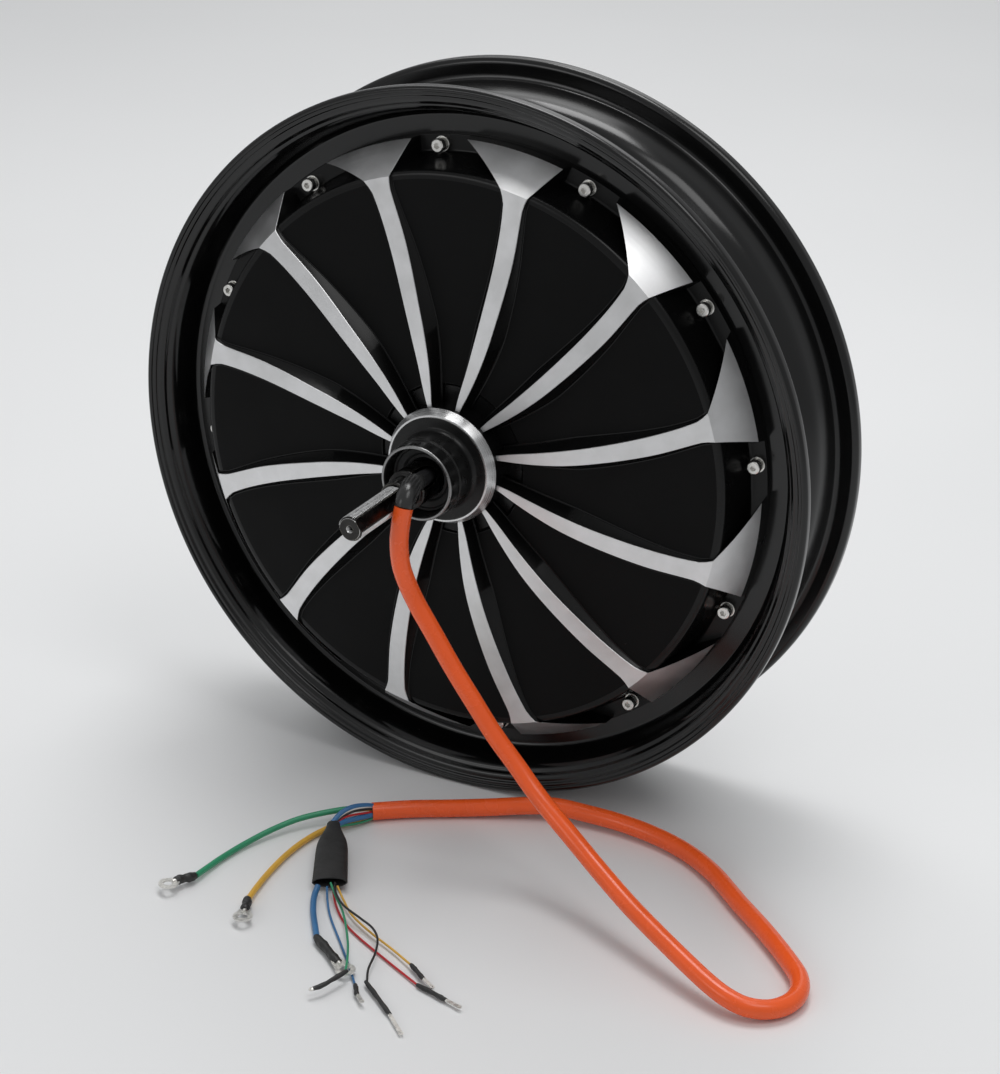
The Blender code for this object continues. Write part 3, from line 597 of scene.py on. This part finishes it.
def spoke_section(radius, top, left, right):
    """Points across a spoke from its left foot over its bright top to its right foot, as (degrees, y)."""
    base = dish_y(radius)
    deep = max(0.2, top - base)
    run = WALL_LEAN * deep * min(1.0, radius / 90.0) if radius < FOLD_R else 0.25 * deep
    foot = [(1.3, -0.8), (1.1, 0.28), (0.5, 0.32), (0.25, -0.05), (-0.1, 0.25)]
    if radius >= FOLD_R:
        foot = [(0.6, -1.5), (0.5, -0.6), (0.4, -0.2), (0.2, 0.3), (0.0, 0.8)]
    wall = [(run + out, base + up) for out, up in foot] + [(0.25, top - 0.4)]
    degree = math.degrees(1.0 / radius)
    points = [(left - away * degree, y) for away, y in wall]
    for step in range(SPOKE_ACROSS + 1):
        points.append((left + (right - left) * step / SPOKE_ACROSS, top))
    return points + [(right + away * degree, y) for away, y in reversed(wall)]


def make_spokes():
    """The twelve spokes and flares, as cut on the lathe: bright tops, and painted walls that lean outwards."""
    bm = bmesh.new()
    sections = [(station[0], spoke_section(*station)) for station in spoke_stations()]
    foot = [(degrees, min(y, SHELF_Y - 0.4)) for degrees, y in sections[-1][1]]
    sections.append((COVER_R - 0.2, foot))
    for sector in range(SECTORS):
        screw_deg = FIRST_SCREW_DEG + 30.0 * sector
        rings = [
            [bm.verts.new(at(radius, -y, screw_deg + degrees)) for degrees, y in section]
            for radius, section in sections
        ]
        for row, (here, there) in enumerate(zip(rings, rings[1:])):
            for index in range(len(here) - 1):
                face = bm.faces.new((here[index], here[index + 1], there[index + 1], there[index]))
                top = WALL_POINTS - 1 <= index <= WALL_POINTS + SPOKE_ACROSS
                face.material_index = 0 if top and row < len(rings) - 2 else 1
    make_piece("cover_spokes", bm, ["machined", "wall_paint"], WHEEL, sharp_deg=24.0)


def make_front_cover():
    turned(
        "cover_dish", rounded(DISH) + DISH_BACK, FRONT, ["panel_paint", "wall_paint"], WHEEL,
        ["front_cover"], 360, material_of=lambda radius, y: 0 if PANEL_FROM_R < radius < PANEL_TO_R else 1,
    )
    make_spokes()
    turned(
        "hub_cone", rounded(HUB_CONE), FRONT, ["hub_machined", "wall_paint"], WHEEL,
        material_of=lambda radius, y: 0 if y > CONE_BARE_Y else 1,
    )
    # The boss's lip takes lighter bare metal: partly wear, partly a painted highlight.
    turned(
        "hub_boss", rounded(HUB_FACE), FRONT, ["boss", "worn_lip"], WHEEL,
        material_of=lambda radius, y: 1 if radius > LIP_R and y > LIP_Y else 0,
    )


# ---------- rear cover

REAR_DISH = [
    (COVER_R, 19.7), (COVER_R, SHELF_Y, 0.5), (187.4, SHELF_Y, 1.6), (182.2, 46.0, 1.0),
    (PANEL_EDGE_R, 49.3, 2.0), (176.0, 51.2, 6.0), (150.0, 52.4, 20.0), (62.0, 54.2, 8.0),
    (53.0, 71.8, 3.0), (50.0, 74.3, 0.6), (27.0, 74.3, 1.4), (25.1, 76.0, 0.5), (25.1, 97.8, 0.9),
    (24.2, 99.2, 0.5), (22.4, 99.2, 0.4), (21.5, 98.2, 0.3), (21.4, 58.0),
]
REAR_BACK = [(46.0, 58.0), (56.0, 47.0), (172.0, 47.0), (178.0, 44.0), (184.0, 19.7)]
DISC_HOLES = 6
DISC_HOLE_CIRCLE_R = 38.5
DISC_HOLE_R = 3.5


def make_rear_cover():
    cover = turned(
        "rear_dish", rounded(REAR_DISH) + REAR_BACK, REAR, ["panel_paint"], WHEEL, ["rear_cover"],
    )
    bm = bmesh.new()
    for hole in range(DISC_HOLES):
        bottom, mouth, chamfer, over = (
            at(DISC_HOLE_CIRCLE_R, y, 360.0 / DISC_HOLES * hole) for y in (61.0, 73.6, 73.5, 74.9)
        )
        rod(bm, bottom, mouth, DISC_HOLE_R, 24)
        rod(bm, chamfer, over, DISC_HOLE_R, 24, DISC_HOLE_R + 1.1)
    cut(cover, bm)


# ---------- screws

HEAD_SIDES = 48
# Side, how many, the CAD node's name, and whether it has washers.
SCREW_SETS = (
    (FRONT, SECTORS, "front_cover_screw_{:02d}", True),
    (REAR, REAR_SCREWS, "rear_cover_screw_{}", False),
)


def hexagon_socket(bm, centre_y, across, depth, outer_r):
    """The head's top face with a six-sided socket sunk in it."""
    sides = 24
    outer, inner, floor = [], [], []
    for step in range(sides):
        degrees = 360.0 * step / sides
        apart = math.radians(degrees % 60.0 - 30.0)
        reach = across / 2.0 / math.cos(apart)
        outer.append(bm.verts.new(at(outer_r, centre_y, degrees)))
        inner.append(bm.verts.new(at(reach, centre_y, degrees)))
        floor.append(bm.verts.new(at(reach * 0.97, centre_y - depth, degrees)))
    bridge(bm, [outer, inner, floor], caps=(-1,))


def screw_mesh(bm, with_washers):
    """A cap screw that stands on y = 0 and faces +Y, with a flat and a split washer under its head."""
    low = 0.0
    if with_washers:
        lathe(bm, rounded([(2.7, 0.0), (5.0, 0.0, 0.3), (5.0, 1.0, 0.3), (2.7, 1.0)]), 1.0, 40)
        steps = 36
        rings = []
        for step in range(steps + 1):
            degrees = 20.0 + 345.0 * step / steps
            rise = 0.35 * (step / steps)
            shape = [(2.7, 1.05 + rise), (4.3, 1.05 + rise), (4.3, 2.15 + rise), (2.7, 2.15 + rise)]
            rings.append([bm.verts.new(at(radius, y, degrees)) for radius, y in shape])
        bridge(bm, rings)
        low = 2.6
    head = rounded([(2.6, low), (4.15, low, 0.2), (4.25, low + 0.6), (4.25, low + 4.6, 0.5), (3.5, low + 5.0)])
    lathe(bm, head, 1.0, HEAD_SIDES, closed=False)
    cap = [face for face in bm.faces if len(face.verts) == HEAD_SIDES]
    bmesh.ops.delete(bm, geom=cap, context="FACES_ONLY")
    hexagon_socket(bm, low + 5.0, 3.6, 2.4, 3.5)


def make_screws():
    for side, count, node_name, with_washers in SCREW_SETS:
        for index in range(count):
            bm = bmesh.new()
            screw_mesh(bm, with_washers)
            spin = Matrix.Rotation(math.radians(37.0 * index), 4, "Y")
            face_out = Matrix.Rotation(math.pi, 4, "Z") if side == FRONT else Matrix.Identity(4)
            bmesh.ops.transform(bm, matrix=face_out @ spin, verts=bm.verts)
            foot = at(SCREW_CIRCLE_R, side * SHELF_Y, FIRST_SCREW_DEG + 360.0 / count * index)
            bmesh.ops.translate(bm, vec=foot, verts=bm.verts)
            node = node_name.format(index + 1)
            make_piece(node.replace("cover_screw", "cap_screw"), bm, ["zinc"], WHEEL, [node])


# ---------- axle and bearings

THREAD_R = 8.0
THREAD_PITCH = 1.5
THREAD_DEPTH = 0.85
ROWS_PER_TURN = 8
FLAT_HALF_GAP = 6.3
COLLAR_END_Y = 125.6
THREAD_START_Y = COLLAR_END_Y - 1.0
# Radius and depth of the rings of the centre hole in the axle's end.
CENTRE_HOLE = ((2.3, 0.0), (1.4, 1.3), (1.2, 4.5))
SHAFT = [
    (8.0, 125.6), (8.6, 125.6), (9.3, 125.6), (10.0, 124.9, 0.3), (10.0, 112.4, 0.5), (11.8, 112.0, 0.2),
    (12.5, 111.3, 0.3), (12.5, 57.1, 0.2), (15.5, 57.1, 0.3), (15.5, 0.0),
]


def thread_radius(y, degrees, side):
    """The radius of the threaded end at a place along it, with a chamfer at the tip."""
    turn = (y / THREAD_PITCH + side * degrees / 360.0) % 1.0
    ridge = max(0.0, 1.0 - abs(turn - 0.5) * 2.3)
    tip = AXLE_END_Y - y
    return min(THREAD_R - THREAD_DEPTH * (1.0 - min(1.0, ridge * 1.15)), 6.7 + tip * 0.9)


def make_threaded_end(side):
    """The end of the axle: a cut thread with two flats and a centre hole, bare where it has rubbed."""
    bm = bmesh.new()
    around = 96
    rows = round((AXLE_END_Y - THREAD_START_Y) / THREAD_PITCH * ROWS_PER_TURN)
    rings = []
    crests = []
    for row in range(rows + 1):
        y = THREAD_START_Y + (AXLE_END_Y - THREAD_START_Y) * row / rows
        ring = []
        for step in range(around):
            degrees = 360.0 * step / around
            radius = thread_radius(y, degrees, side)
            apart = math.radians(degrees - FLAT_NORMAL_DEG)
            across = radius * math.cos(apart)
            if abs(across) > FLAT_HALF_GAP:
                along = radius * math.sin(apart)
                away = math.copysign(FLAT_HALF_GAP, across)
                point = at(away, side * y, FLAT_NORMAL_DEG) + at(along, 0.0, FLAT_NORMAL_DEG + 90.0)
            else:
                point = at(radius, side * y, degrees)
            ring.append(bm.verts.new(point))
            crests.append(radius > THREAD_R - 0.3 * THREAD_DEPTH and abs(across) <= FLAT_HALF_GAP)
        rings.append(ring)
    for radius, sink in CENTRE_HOLE:
        rings.append([
            bm.verts.new(at(radius, side * (AXLE_END_Y - sink), 360.0 * step / around)) for step in range(around)
        ])
    for row, faces in enumerate(bridge(bm, rings)):
        bare = row == rows - 1 or row > rows
        for step, face in enumerate(faces):
            crest = row < rows and crests[row * around + step]
            face.material_index = 1 if bare or crest else 0
    name = "axle_end_front" if side == FRONT else "axle_end_rear"
    make_piece(name, bm, ["black_steel", "thread_crest"], ROOT, sharp_deg=40.0)


def make_axle():
    half = rounded(SHAFT)
    outline = [(radius, -y) for radius, y in half] + half[::-1][1:]
    shaft = turned("axle_shaft", outline, REAR, ["black_steel"], ROOT, ["axle"], 96, closed=False)
    tilt = math.radians(CABLE_HOLE_TILT_DEG)
    run = at(math.sin(tilt), -math.cos(tilt), CABLE_SIDE_DEG)
    crossing = Vector((0.0, -CABLE_HOLE_CROSSES_Y, 0.0))
    bm = bmesh.new()
    rod(bm, crossing - run * 50.0, crossing + run * 62.0, CABLE_HOLE_R, 40)
    cut(shaft, bm)
    make_threaded_end(FRONT)
    make_threaded_end(REAR)


SEAL = [
    (21.2, 81.4), (21.2, 89.6, 0.5), (19.8, 89.6, 0.4), (19.2, 88.2, 0.5), (15.6, 87.6, 0.8), (14.4, 85.8, 0.5),
    (12.75, 86.6, 0.2), (12.75, 84.0, 0.3), (15.5, 81.6),
]


def make_seals():
    for side, label in ((FRONT, "front"), (REAR, "rear")):
        turned(f"{label}_lip_seal", rounded(SEAL), side, ["rubber"], WHEEL, [f"{label}_seal"], 120)


# ---------- cable and wires

CABLE_D = 11.4
SLEEVE_ROUTE = [
    (10.7, -117.4, 9.5), (13.2, -127.0, 11.6), (15.4, -135.8, 10.8), (16.1, -140.8, 7.4), (15.9, -142.6, 3.8),
]
CABLE_ROUTE = [
    (15.4, -143.4, 0.0), (14.0, -143.9, -9), (12.6, -143, -22), (12.8, -140, -38), (19, -137, -57),
    (32, -137, -77), (46, -138, -97), (60, -139, -115), (75, -140, -134), (91, -141, -151), (109, -145, -167),
    (139, -156, -184), (162, -167, -194), (184, -178, -202), (206, -189, -208), (229, -200, -214),
    (247, -208, -218.5), (260, -212, -221.5), (272, -212, -224), (283, -206.5, -225.5), (290, -196.5, -226),
    (292, -184.5, -226), (288.5, -172, -226), (280, -160, -226), (254, -134, -226), (226, -109.5, -226),
    (199, -85, -226), (174, -69, -226), (149, -61, -225), (124, -58, -224), (100, -59, -223), (79, -62, -222),
    (60, -69, -223), (38, -79, -225), (16, -90, -226), (-5, -102, -226), (-25, -116, -226),
]
PHASE_ROUTES = {
    "green": [(-27.8, -114.2, -225.0), (-41, -127, -223.5), (-59, -145, -225), (-70, -163, -227),
              (-78, -184, -229), (-82, -204, -229.5), (-83, -219, -229), (-83.2, -232.4, -228)],
    "yellow": [(-25.8, -116.6, -229.6), (-34, -127, -229.6), (-42, -141, -229.7), (-47, -160, -229.7),
               (-48.5, -180, -229.7), (-47.5, -201, -229.7), (-44.3, -223, -229.3), (-39.9, -241.2, -228)],
    "blue": [(-9.0, -210.5, -226.4), (-6.5, -219, -228.4), (0, -231, -229.7), (9, -244, -229.7),
             (17.6, -256, -229.4)],
}
PHASE_ENDS = {
    "green": [(-84.0, -234.0, -227.9), (-89.0, -244.4, -226.6), (-93.6, -256, -226)],
    "yellow": [(-39.8, -241.7, -228), (-34.6, -252.4, -227.3), (-29.4, -265.4, -226.7)],
    "blue": [(18.9, -257.3, -228.8), (39.5, -271.8, -228.6), (55.5, -281.8, -228.6)],
}
HALL_ROUTES = {
    "blue": [(-3.6, -208.6, -226.2), (3, -219, -229.5), (13, -232, -231), (34, -255, -231), (51, -274, -231),
             (63, -288.6, -230.3)],
    "green": [(-2.0, -206.8, -224.0), (7, -216, -226), (20, -229, -227.4), (37, -253, -226.8),
              (48, -272, -225.6), (54, -284.6, -225.3)],
    "red": [(-0.8, -206.6, -226.8), (8, -218, -230), (20, -230, -231), (36, -241, -231), (65, -256, -231),
            (94.3, -270.8, -230.6)],
    "black": [(0.6, -205.8, -223.6), (7, -216, -223.2), (18, -225.6, -223.6), (33, -232.5, -224),
              (45, -238, -224.5), (52.8, -245.4, -225.5), (58.6, -258, -226.5), (62.6, -273, -227.5),
              (67.6, -283.4, -228.6)],
    "yellow": [(1.8, -205.2, -226.2), (11, -214, -228), (24, -225.5, -229), (43, -236.5, -229.3),
               (63, -246, -229.5), (82, -256.5, -229)],
}
HALL_ENDS = {
    "blue": [(63.3, -289.0, -229.6), (68.4, -296.2, -229.2), (76, -303, -228.4)],
    "green": [(54.2, -285.2, -225.2), (49.6, -302.0, -225.6), (44.6, -309.4, -226.2)],
    "red": [(94.8, -271.1, -230.2), (113.6, -276.4, -229.9), (127, -280.2, -229.6)],
    "black": [(67.8, -283.9, -229.2), (93.2, -303.2, -229.9), (109.5, -317.6, -230.5)],
    "yellow": [(82.4, -256.7, -228.9), (93.4, -264.4, -229), (103.9, -270.2, -229.8)],
}
SLEEVE_SPINE = [(8.6, -109.0, 7.6)] + SLEEVE_ROUTE
SLEEVE_RADII = [(0.0, 4.6), (0.2, 4.6), (0.26, 5.1), (0.33, 6.1), (0.52, 6.35), (0.85, 6.05), (1.0, 5.9)]
BOOT_TOP = (-37.0, -144.4, -224.4)
BOOT_END = (-4.0, -204.6, -225.4)
# Share of the way along, half width and half thickness.
BOOT_SECTIONS = [
    (0.0, 4.2, 3.0), (0.06, 4.6, 3.1), (0.16, 6.3, 3.5), (0.3, 8.9, 3.9), (0.42, 9.9, 4.0), (0.6, 10.3, 3.9),
    (1.0, 10.9, 3.5),
]
BOOT_MOUTH = [(1.0, 10.2, 2.8), (0.93, 9.8, 2.7), (0.8, 9.2, 2.4)]
# Radius and route of each wire between the jacket's end and the boot.
NECK_STRANDS = {
    "blue": (1.75, [
        (-23.6, -114.8, -222.6), (-27.6, -121.4, -219.8), (-32.4, -129.0, -218.6), (-36.0, -136.8, -220.0),
        (-37.6, -145.6, -223.4)]),
    "blue_low": (1.75, [
        (-22.4, -116.6, -226.8), (-25.4, -123.0, -226.2), (-29.8, -131.0, -225.4), (-33.4, -138.0, -224.8),
        (-35.6, -145.6, -224.6)]),
    "green": (0.8, [
        (-22.6, -118.0, -229.0), (-25.2, -124.4, -229.0), (-29.0, -131.6, -228.4), (-33.0, -138.6, -227.0),
        (-35.8, -145.8, -225.4)]),
    "black": (0.75, [
        (-22.6, -116.0, -223.6), (-26.0, -122.4, -221.6), (-30.4, -129.8, -220.6), (-34.2, -137.2, -221.4),
        (-36.0, -145.8, -223.6)]),
    "red": (0.75, [
        (-22.6, -116.6, -225.2), (-25.8, -123.2, -223.8), (-30.2, -130.6, -222.6), (-34.0, -137.6, -222.4),
        (-36.2, -145.6, -224.0)]),
    "yellow": (0.8, [
        (-23.0, -115.6, -224.6), (-27.2, -122.2, -222.6), (-32.0, -129.8, -221.2), (-35.4, -137.0, -221.4),
        (-37.0, -145.6, -223.8)]),
    "white": (0.7, [
        (-22.8, -115.4, -222.6), (-26.4, -121.8, -220.4), (-31.0, -129.4, -219.4), (-34.8, -137.0, -220.6),
        (-36.6, -145.6, -223.4)]),
}
PHASE_D = 3.8
HALL_D = 1.4
# Sleeve radius, eye radius, hole radius and half the neck's width.
PHASE_LUG = (3.0, 6.0, 3.0, 3.0)
HALL_LUG = (1.5, 1.5, 0.6, 1.1)
# How far the sleeve runs on over each lug's neck, as a share of the neck.
LUG_COVERS = {"phase_blue": 0.5, "hall_green": 0.9, "hall_red": 0.1}


def metres(point):
    return tuple(part * MM for part in point)


def tube(name, points, radius, material, replaced=(), sides=8):
    """A round tube along points, riding on the axle's body."""
    curve = bpy.data.curves.new(name, "CURVE")
    curve.dimensions = "3D"
    curve.bevel_depth = radius * MM
    curve.bevel_resolution = sides
    curve.use_fill_caps = True
    spline = curve.splines.new("POLY")
    spline.points.add(len(points) - 1)
    for target, point in zip(spline.points, points):
        target.co = (*metres(point), 1.0)
    spline.use_smooth = True
    curve.materials.append(MATERIALS[material])
    return place_piece(bpy.data.objects.new(name, curve), ROOT, replaced)


def level_frames(points):
    """(point, sideways, lift) along points, with sideways kept level."""
    frames = []
    for index, point in enumerate(points):
        run = points[min(index + 1, len(points) - 1)] - points[max(index - 1, 0)]
        frames.append((point, *level_axes(run)))
    return frames


def sweep(bm, points, radius_at, sides, lumps):
    """A closed skin round points. radius_at gives the radius for a share of the way along."""
    rings = []
    frames = level_frames(points)
    for row, (centre, sideways, lift) in enumerate(frames):
        part = row / (len(frames) - 1)
        ring = []
        for step in range(sides):
            turn = 2.0 * math.pi * step / sides
            lump = 1.0 + lumps * math.sin(17.0 * part + 2.0 * turn) * math.sin(9.0 * part + turn)
            radius = radius_at(part) * lump
            across, above = radius * math.cos(turn), radius * math.sin(turn)
            ring.append(bm.verts.new(centre + sideways * across + lift * above))
        rings.append(ring)
    bridge(bm, rings)


def radii(rows):
    """A radius_at function for sweep, from rows of (share, radius)."""
    table = [(share, radius, radius) for share, radius in rows]
    return lambda part: between(table, part)[0]


def make_sleeve():
    """The heat-shrink strain relief between the axle and the jacket, slimmer where it enters the axle."""
    bm = bmesh.new()
    sweep(bm, curve_through(SLEEVE_SPINE, 0.9), radii(SLEEVE_RADII), 40, 0.006)
    return make_piece("strain_relief", bm, ["shrink_smooth"], ROOT, ["cable_sleeve"], 40.0)


def make_strands():
    """The short bundle between the jacket's end and the boot, one tube for each wire."""
    strands = []
    for label, (radius, route) in NECK_STRANDS.items():
        replaced = ["wire_neck"] if label == "blue" else []
        colour = label.split("_")[0]
        strands.append(tube(f"strand_{label}", curve_through(route, 1.2), radius, colour, replaced, 5))
    return strands


def make_boot():
    """The flat heat-shrink boot, open at its mouth, where the thin wires and one thick wire come out."""
    top = Vector(BOOT_TOP)
    run = Vector(BOOT_END) - top
    sideways, lift = level_axes(run)
    shares = [step / 40.0 for step in range(41)]
    sections = [(share, *between(BOOT_SECTIONS, share)) for share in shares] + BOOT_MOUTH
    bm = bmesh.new()
    rings = []
    sides = 48
    for share, wide, thick in sections:
        ring = []
        for step in range(sides):
            turn = 2.0 * math.pi * step / sides
            across = math.copysign(abs(math.cos(turn)) ** 0.85, math.cos(turn))
            pinch = 1.0 - 0.16 * share * math.exp(-((abs(across) - 0.95) / 0.12) ** 2)
            height = thick * math.sin(turn) * pinch
            ring.append(bm.verts.new(top + run * share + sideways * (wide * across) + lift * height))
        rings.append(ring)
    bridge(bm, rings)
    return make_piece("shrink_boot", bm, ["shrink_boot"], ROOT, ["wire_boot"], 50.0)


def make_cable():
    """The orange cable, together with its sleeve, boot and strands."""
    points = curve_through(SLEEVE_ROUTE[-1:] + CABLE_ROUTE, 4.0)
    jacket = tube("jacket", points, CABLE_D / 2.0, "orange", ["cable_jacket"])
    run = (points[-1] - points[-2]).normalized()
    bm = bmesh.new()
    rod(bm, points[-1] - run * 0.5, points[-1] + run * 0.35, CABLE_D / 2.0 - 0.9, 32)
    filler = make_piece("jacket_filler", bm, ["black"], ROOT)
    make_sleeve()
    make_boot()
    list(make_strands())


def plate_outline(reach, eye_r, neck, sides=40):
    """The outline of a lug's plate as (sideways, along): a neck that opens into a round eye."""
    centre = reach - eye_r
    points = [(-neck, 0.0), (neck, 0.0)]
    for step in range(sides + 1):
        turn = math.radians(-38.0 + 256.0 * step / sides)
        points.append((eye_r * math.cos(turn), centre + eye_r * math.sin(turn)))
    return points


def make_plate(bm, outline, centre, hole_r, thick):
    """A plate on the outline with a round hole, as an outer wall, a hole wall and two ringed faces."""
    turns = [math.atan2(along - centre, across) for across, along in outline]
    hole = [(hole_r * math.cos(turn), centre + hole_r * math.sin(turn)) for turn in turns]
    rings = [
        [bm.verts.new((across, level, along)) for across, along in shape]
        for shape, level in ((outline, -thick), (outline, thick), (hole, thick), (hole, -thick))
    ]
    bridge(bm, rings + rings[:1], caps=())


def make_terminal(name, ends, lug, cover, replaced):
    """A crimped lug: a lumpy sleeve over the crimp, a bright barrel tip, and a flat plate with an eye."""
    start, mid, tip = (Vector(point) for point in ends)
    sleeve_r, eye_r, hole_r, neck = lug
    along = (tip - mid).normalized()
    sideways, lift = level_axes(along)
    reach = (tip - mid).length
    bm = bmesh.new()
    first = (mid - start).normalized()
    end = mid + along * (1.0 + cover * (reach - 2.0 * eye_r))
    spine = curve_through([start - first * 1.6, start.lerp(mid, 0.5), mid, end], 0.5)
    sweep(bm, spine, radii([
        (0.0, 0.72 * sleeve_r), (0.12, 0.9 * sleeve_r), (0.34, sleeve_r), (0.55, 0.84 * sleeve_r),
        (0.82, sleeve_r), (1.0, 0.8 * sleeve_r),
    ]), 24, 0.08)
    sleeve = make_piece(f"{name}_sleeve", bm, ["shrink"], ROOT, sharp_deg=50.0)
    bm = bmesh.new()
    thick = max(0.35, eye_r * 0.08)
    make_plate(bm, plate_outline(reach, eye_r, neck), reach - eye_r, hole_r, thick)
    lie = Matrix((sideways, lift, along)).transposed().to_4x4()
    bmesh.ops.transform(bm, matrix=Matrix.Translation(mid) @ lie, verts=bm.verts)
    rod(bm, end - along * 1.5, end + along * 0.8 * sleeve_r, 0.62 * sleeve_r, 24, 0.5 * sleeve_r)
    eye = make_piece(f"{name}_eye", bm, ["tin"], ROOT, replaced, 40.0)
    return [sleeve, eye]


def make_lead(kind, colour, route, ends, diameter, lug):
    """One loose wire with its terminal."""
    label = f"{kind}_{colour}"
    points = curve_through(route, 1.6)
    wire = tube(f"{label}_wire", points, diameter / 2.0, colour, [f"{kind}_wire_{colour}"], 6)
    cover = LUG_COVERS.get(label, 0.0)
    terminal = make_terminal(f"{label}_lug", ends, lug, cover, [f"{kind}_terminal_{colour}"])


def make_leads():
    for colour, route in PHASE_ROUTES.items():
        make_lead("phase", colour, route, PHASE_ENDS[colour], PHASE_D, PHASE_LUG)
    for colour, route in HALL_ROUTES.items():
        make_lead("hall", colour, route, HALL_ENDS[colour], HALL_D, HALL_LUG)


# ---------- picture


def make_floor():
    bm = bmesh.new()
    bmesh.ops.create_grid(bm, x_segments=2, y_segments=2, size=4000.0)
    bmesh.ops.translate(bm, verts=bm.verts, vec=(0.0, 0.0, FLOOR_Z))
    mesh = mesh_of("floor", bm)
    paint = Paint("floor", (0.80, 0.805, 0.81), 0.34, Specular_IOR_Level=0.3)
    cloud = paint.noise(420.0, 1.0)
    paint.rough(paint.spread(cloud, 0.33, 0.36))
    paint.colour(paint.mix(cloud, (0.79, 0.795, 0.8), (0.81, 0.815, 0.82)))
    mesh.materials.append(paint.material)
    floor = bpy.data.objects.new("floor", mesh)
    bpy.context.scene.collection.objects.link(floor)


# Place and aim in metres, width and height in metres, power in watts.
LIGHTS = {
    "overhead": ((-0.1, 0.35, 2.0), (0.0, 0.0, -0.2), (0.9, 0.9), 17.0),
    "right_overhead": ((1.05, -0.6, 1.9), (0.0, 0.0, -0.1), (0.95, 0.95), 7.5),
    "rear_overhead": ((-1.0, 1.3, 2.1), (-0.7, 0.9, -0.2), (2.0, 1.6), 17.0),
    "front_window": ((-1.3, -2.6, 1.25), (0.0, 0.0, 0.0), (1.3, 0.9), 6.5),
    "backdrop": ((-0.9, 3.2, 1.9), (-1.4, 2.6, -0.2), (2.6, 1.6), 13.0),
}


def make_lights():
    bpy.context.scene.view_settings.view_transform = "Standard"
    world = bpy.data.worlds.new("studio")
    bpy.context.scene.world = world
    world.use_nodes = True
    background = world.node_tree.nodes["Background"]
    background.inputs["Color"].default_value = (0.88, 0.89, 0.90, 1.0)
    background.inputs["Strength"].default_value = 0.45
    for name, (place, aim, size, power) in LIGHTS.items():
        light = bpy.data.lights.new(name, "AREA")
        light.shape = "RECTANGLE"
        light.size, light.size_y = size
        light.energy = power
        obj = bpy.data.objects.new(name, light)
        bpy.context.scene.collection.objects.link(obj)
        obj.location = place
        obj.rotation_euler = (Vector(aim) - Vector(place)).to_track_quat("-Z", "Y").to_euler()


def make_camera():
    camera = bpy.data.cameras.new("camera")
    camera.sensor_fit = "HORIZONTAL"
    camera.sensor_width = 36.0
    camera.lens = 89.72
    camera.shift_x = 0.0307
    camera.shift_y = 0.0121
    camera.clip_start = 0.05
    obj = bpy.data.objects.new("camera", camera)
    bpy.context.scene.collection.objects.link(obj)
    obj.location = (0.6835, -1.3240, 0.5722)
    obj.rotation_euler = (math.radians(66.30), 0.0, math.radians(27.84))
    bpy.context.scene.camera = obj


CAD_LOOKS = {
    "flux_ring": "ground_steel", "magnet_ring": "nickel", "stator_core": "laminations",
    "stator_spider": "cast_aluminium", "front_winding": "copper", "rear_winding": "copper",
    "hall_board": "board", "inner_leads": "black",
}


def dress_cad_nodes():
    """Better materials on the CAD nodes that stay."""
    for name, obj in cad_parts.items():
        look = CAD_LOOKS.get(name)
        if "bearing" in name:
            look = "ground_steel"
        if look:
            obj.data.materials.clear()
            obj.data.materials.append(MATERIALS[look])


make_camera()
make_cable()
make_leads()
make_rim()
make_front_cover()
make_rear_cover()
make_screws()
make_axle()
make_seals()
dress_cad_nodes()
make_floor()
make_lights()
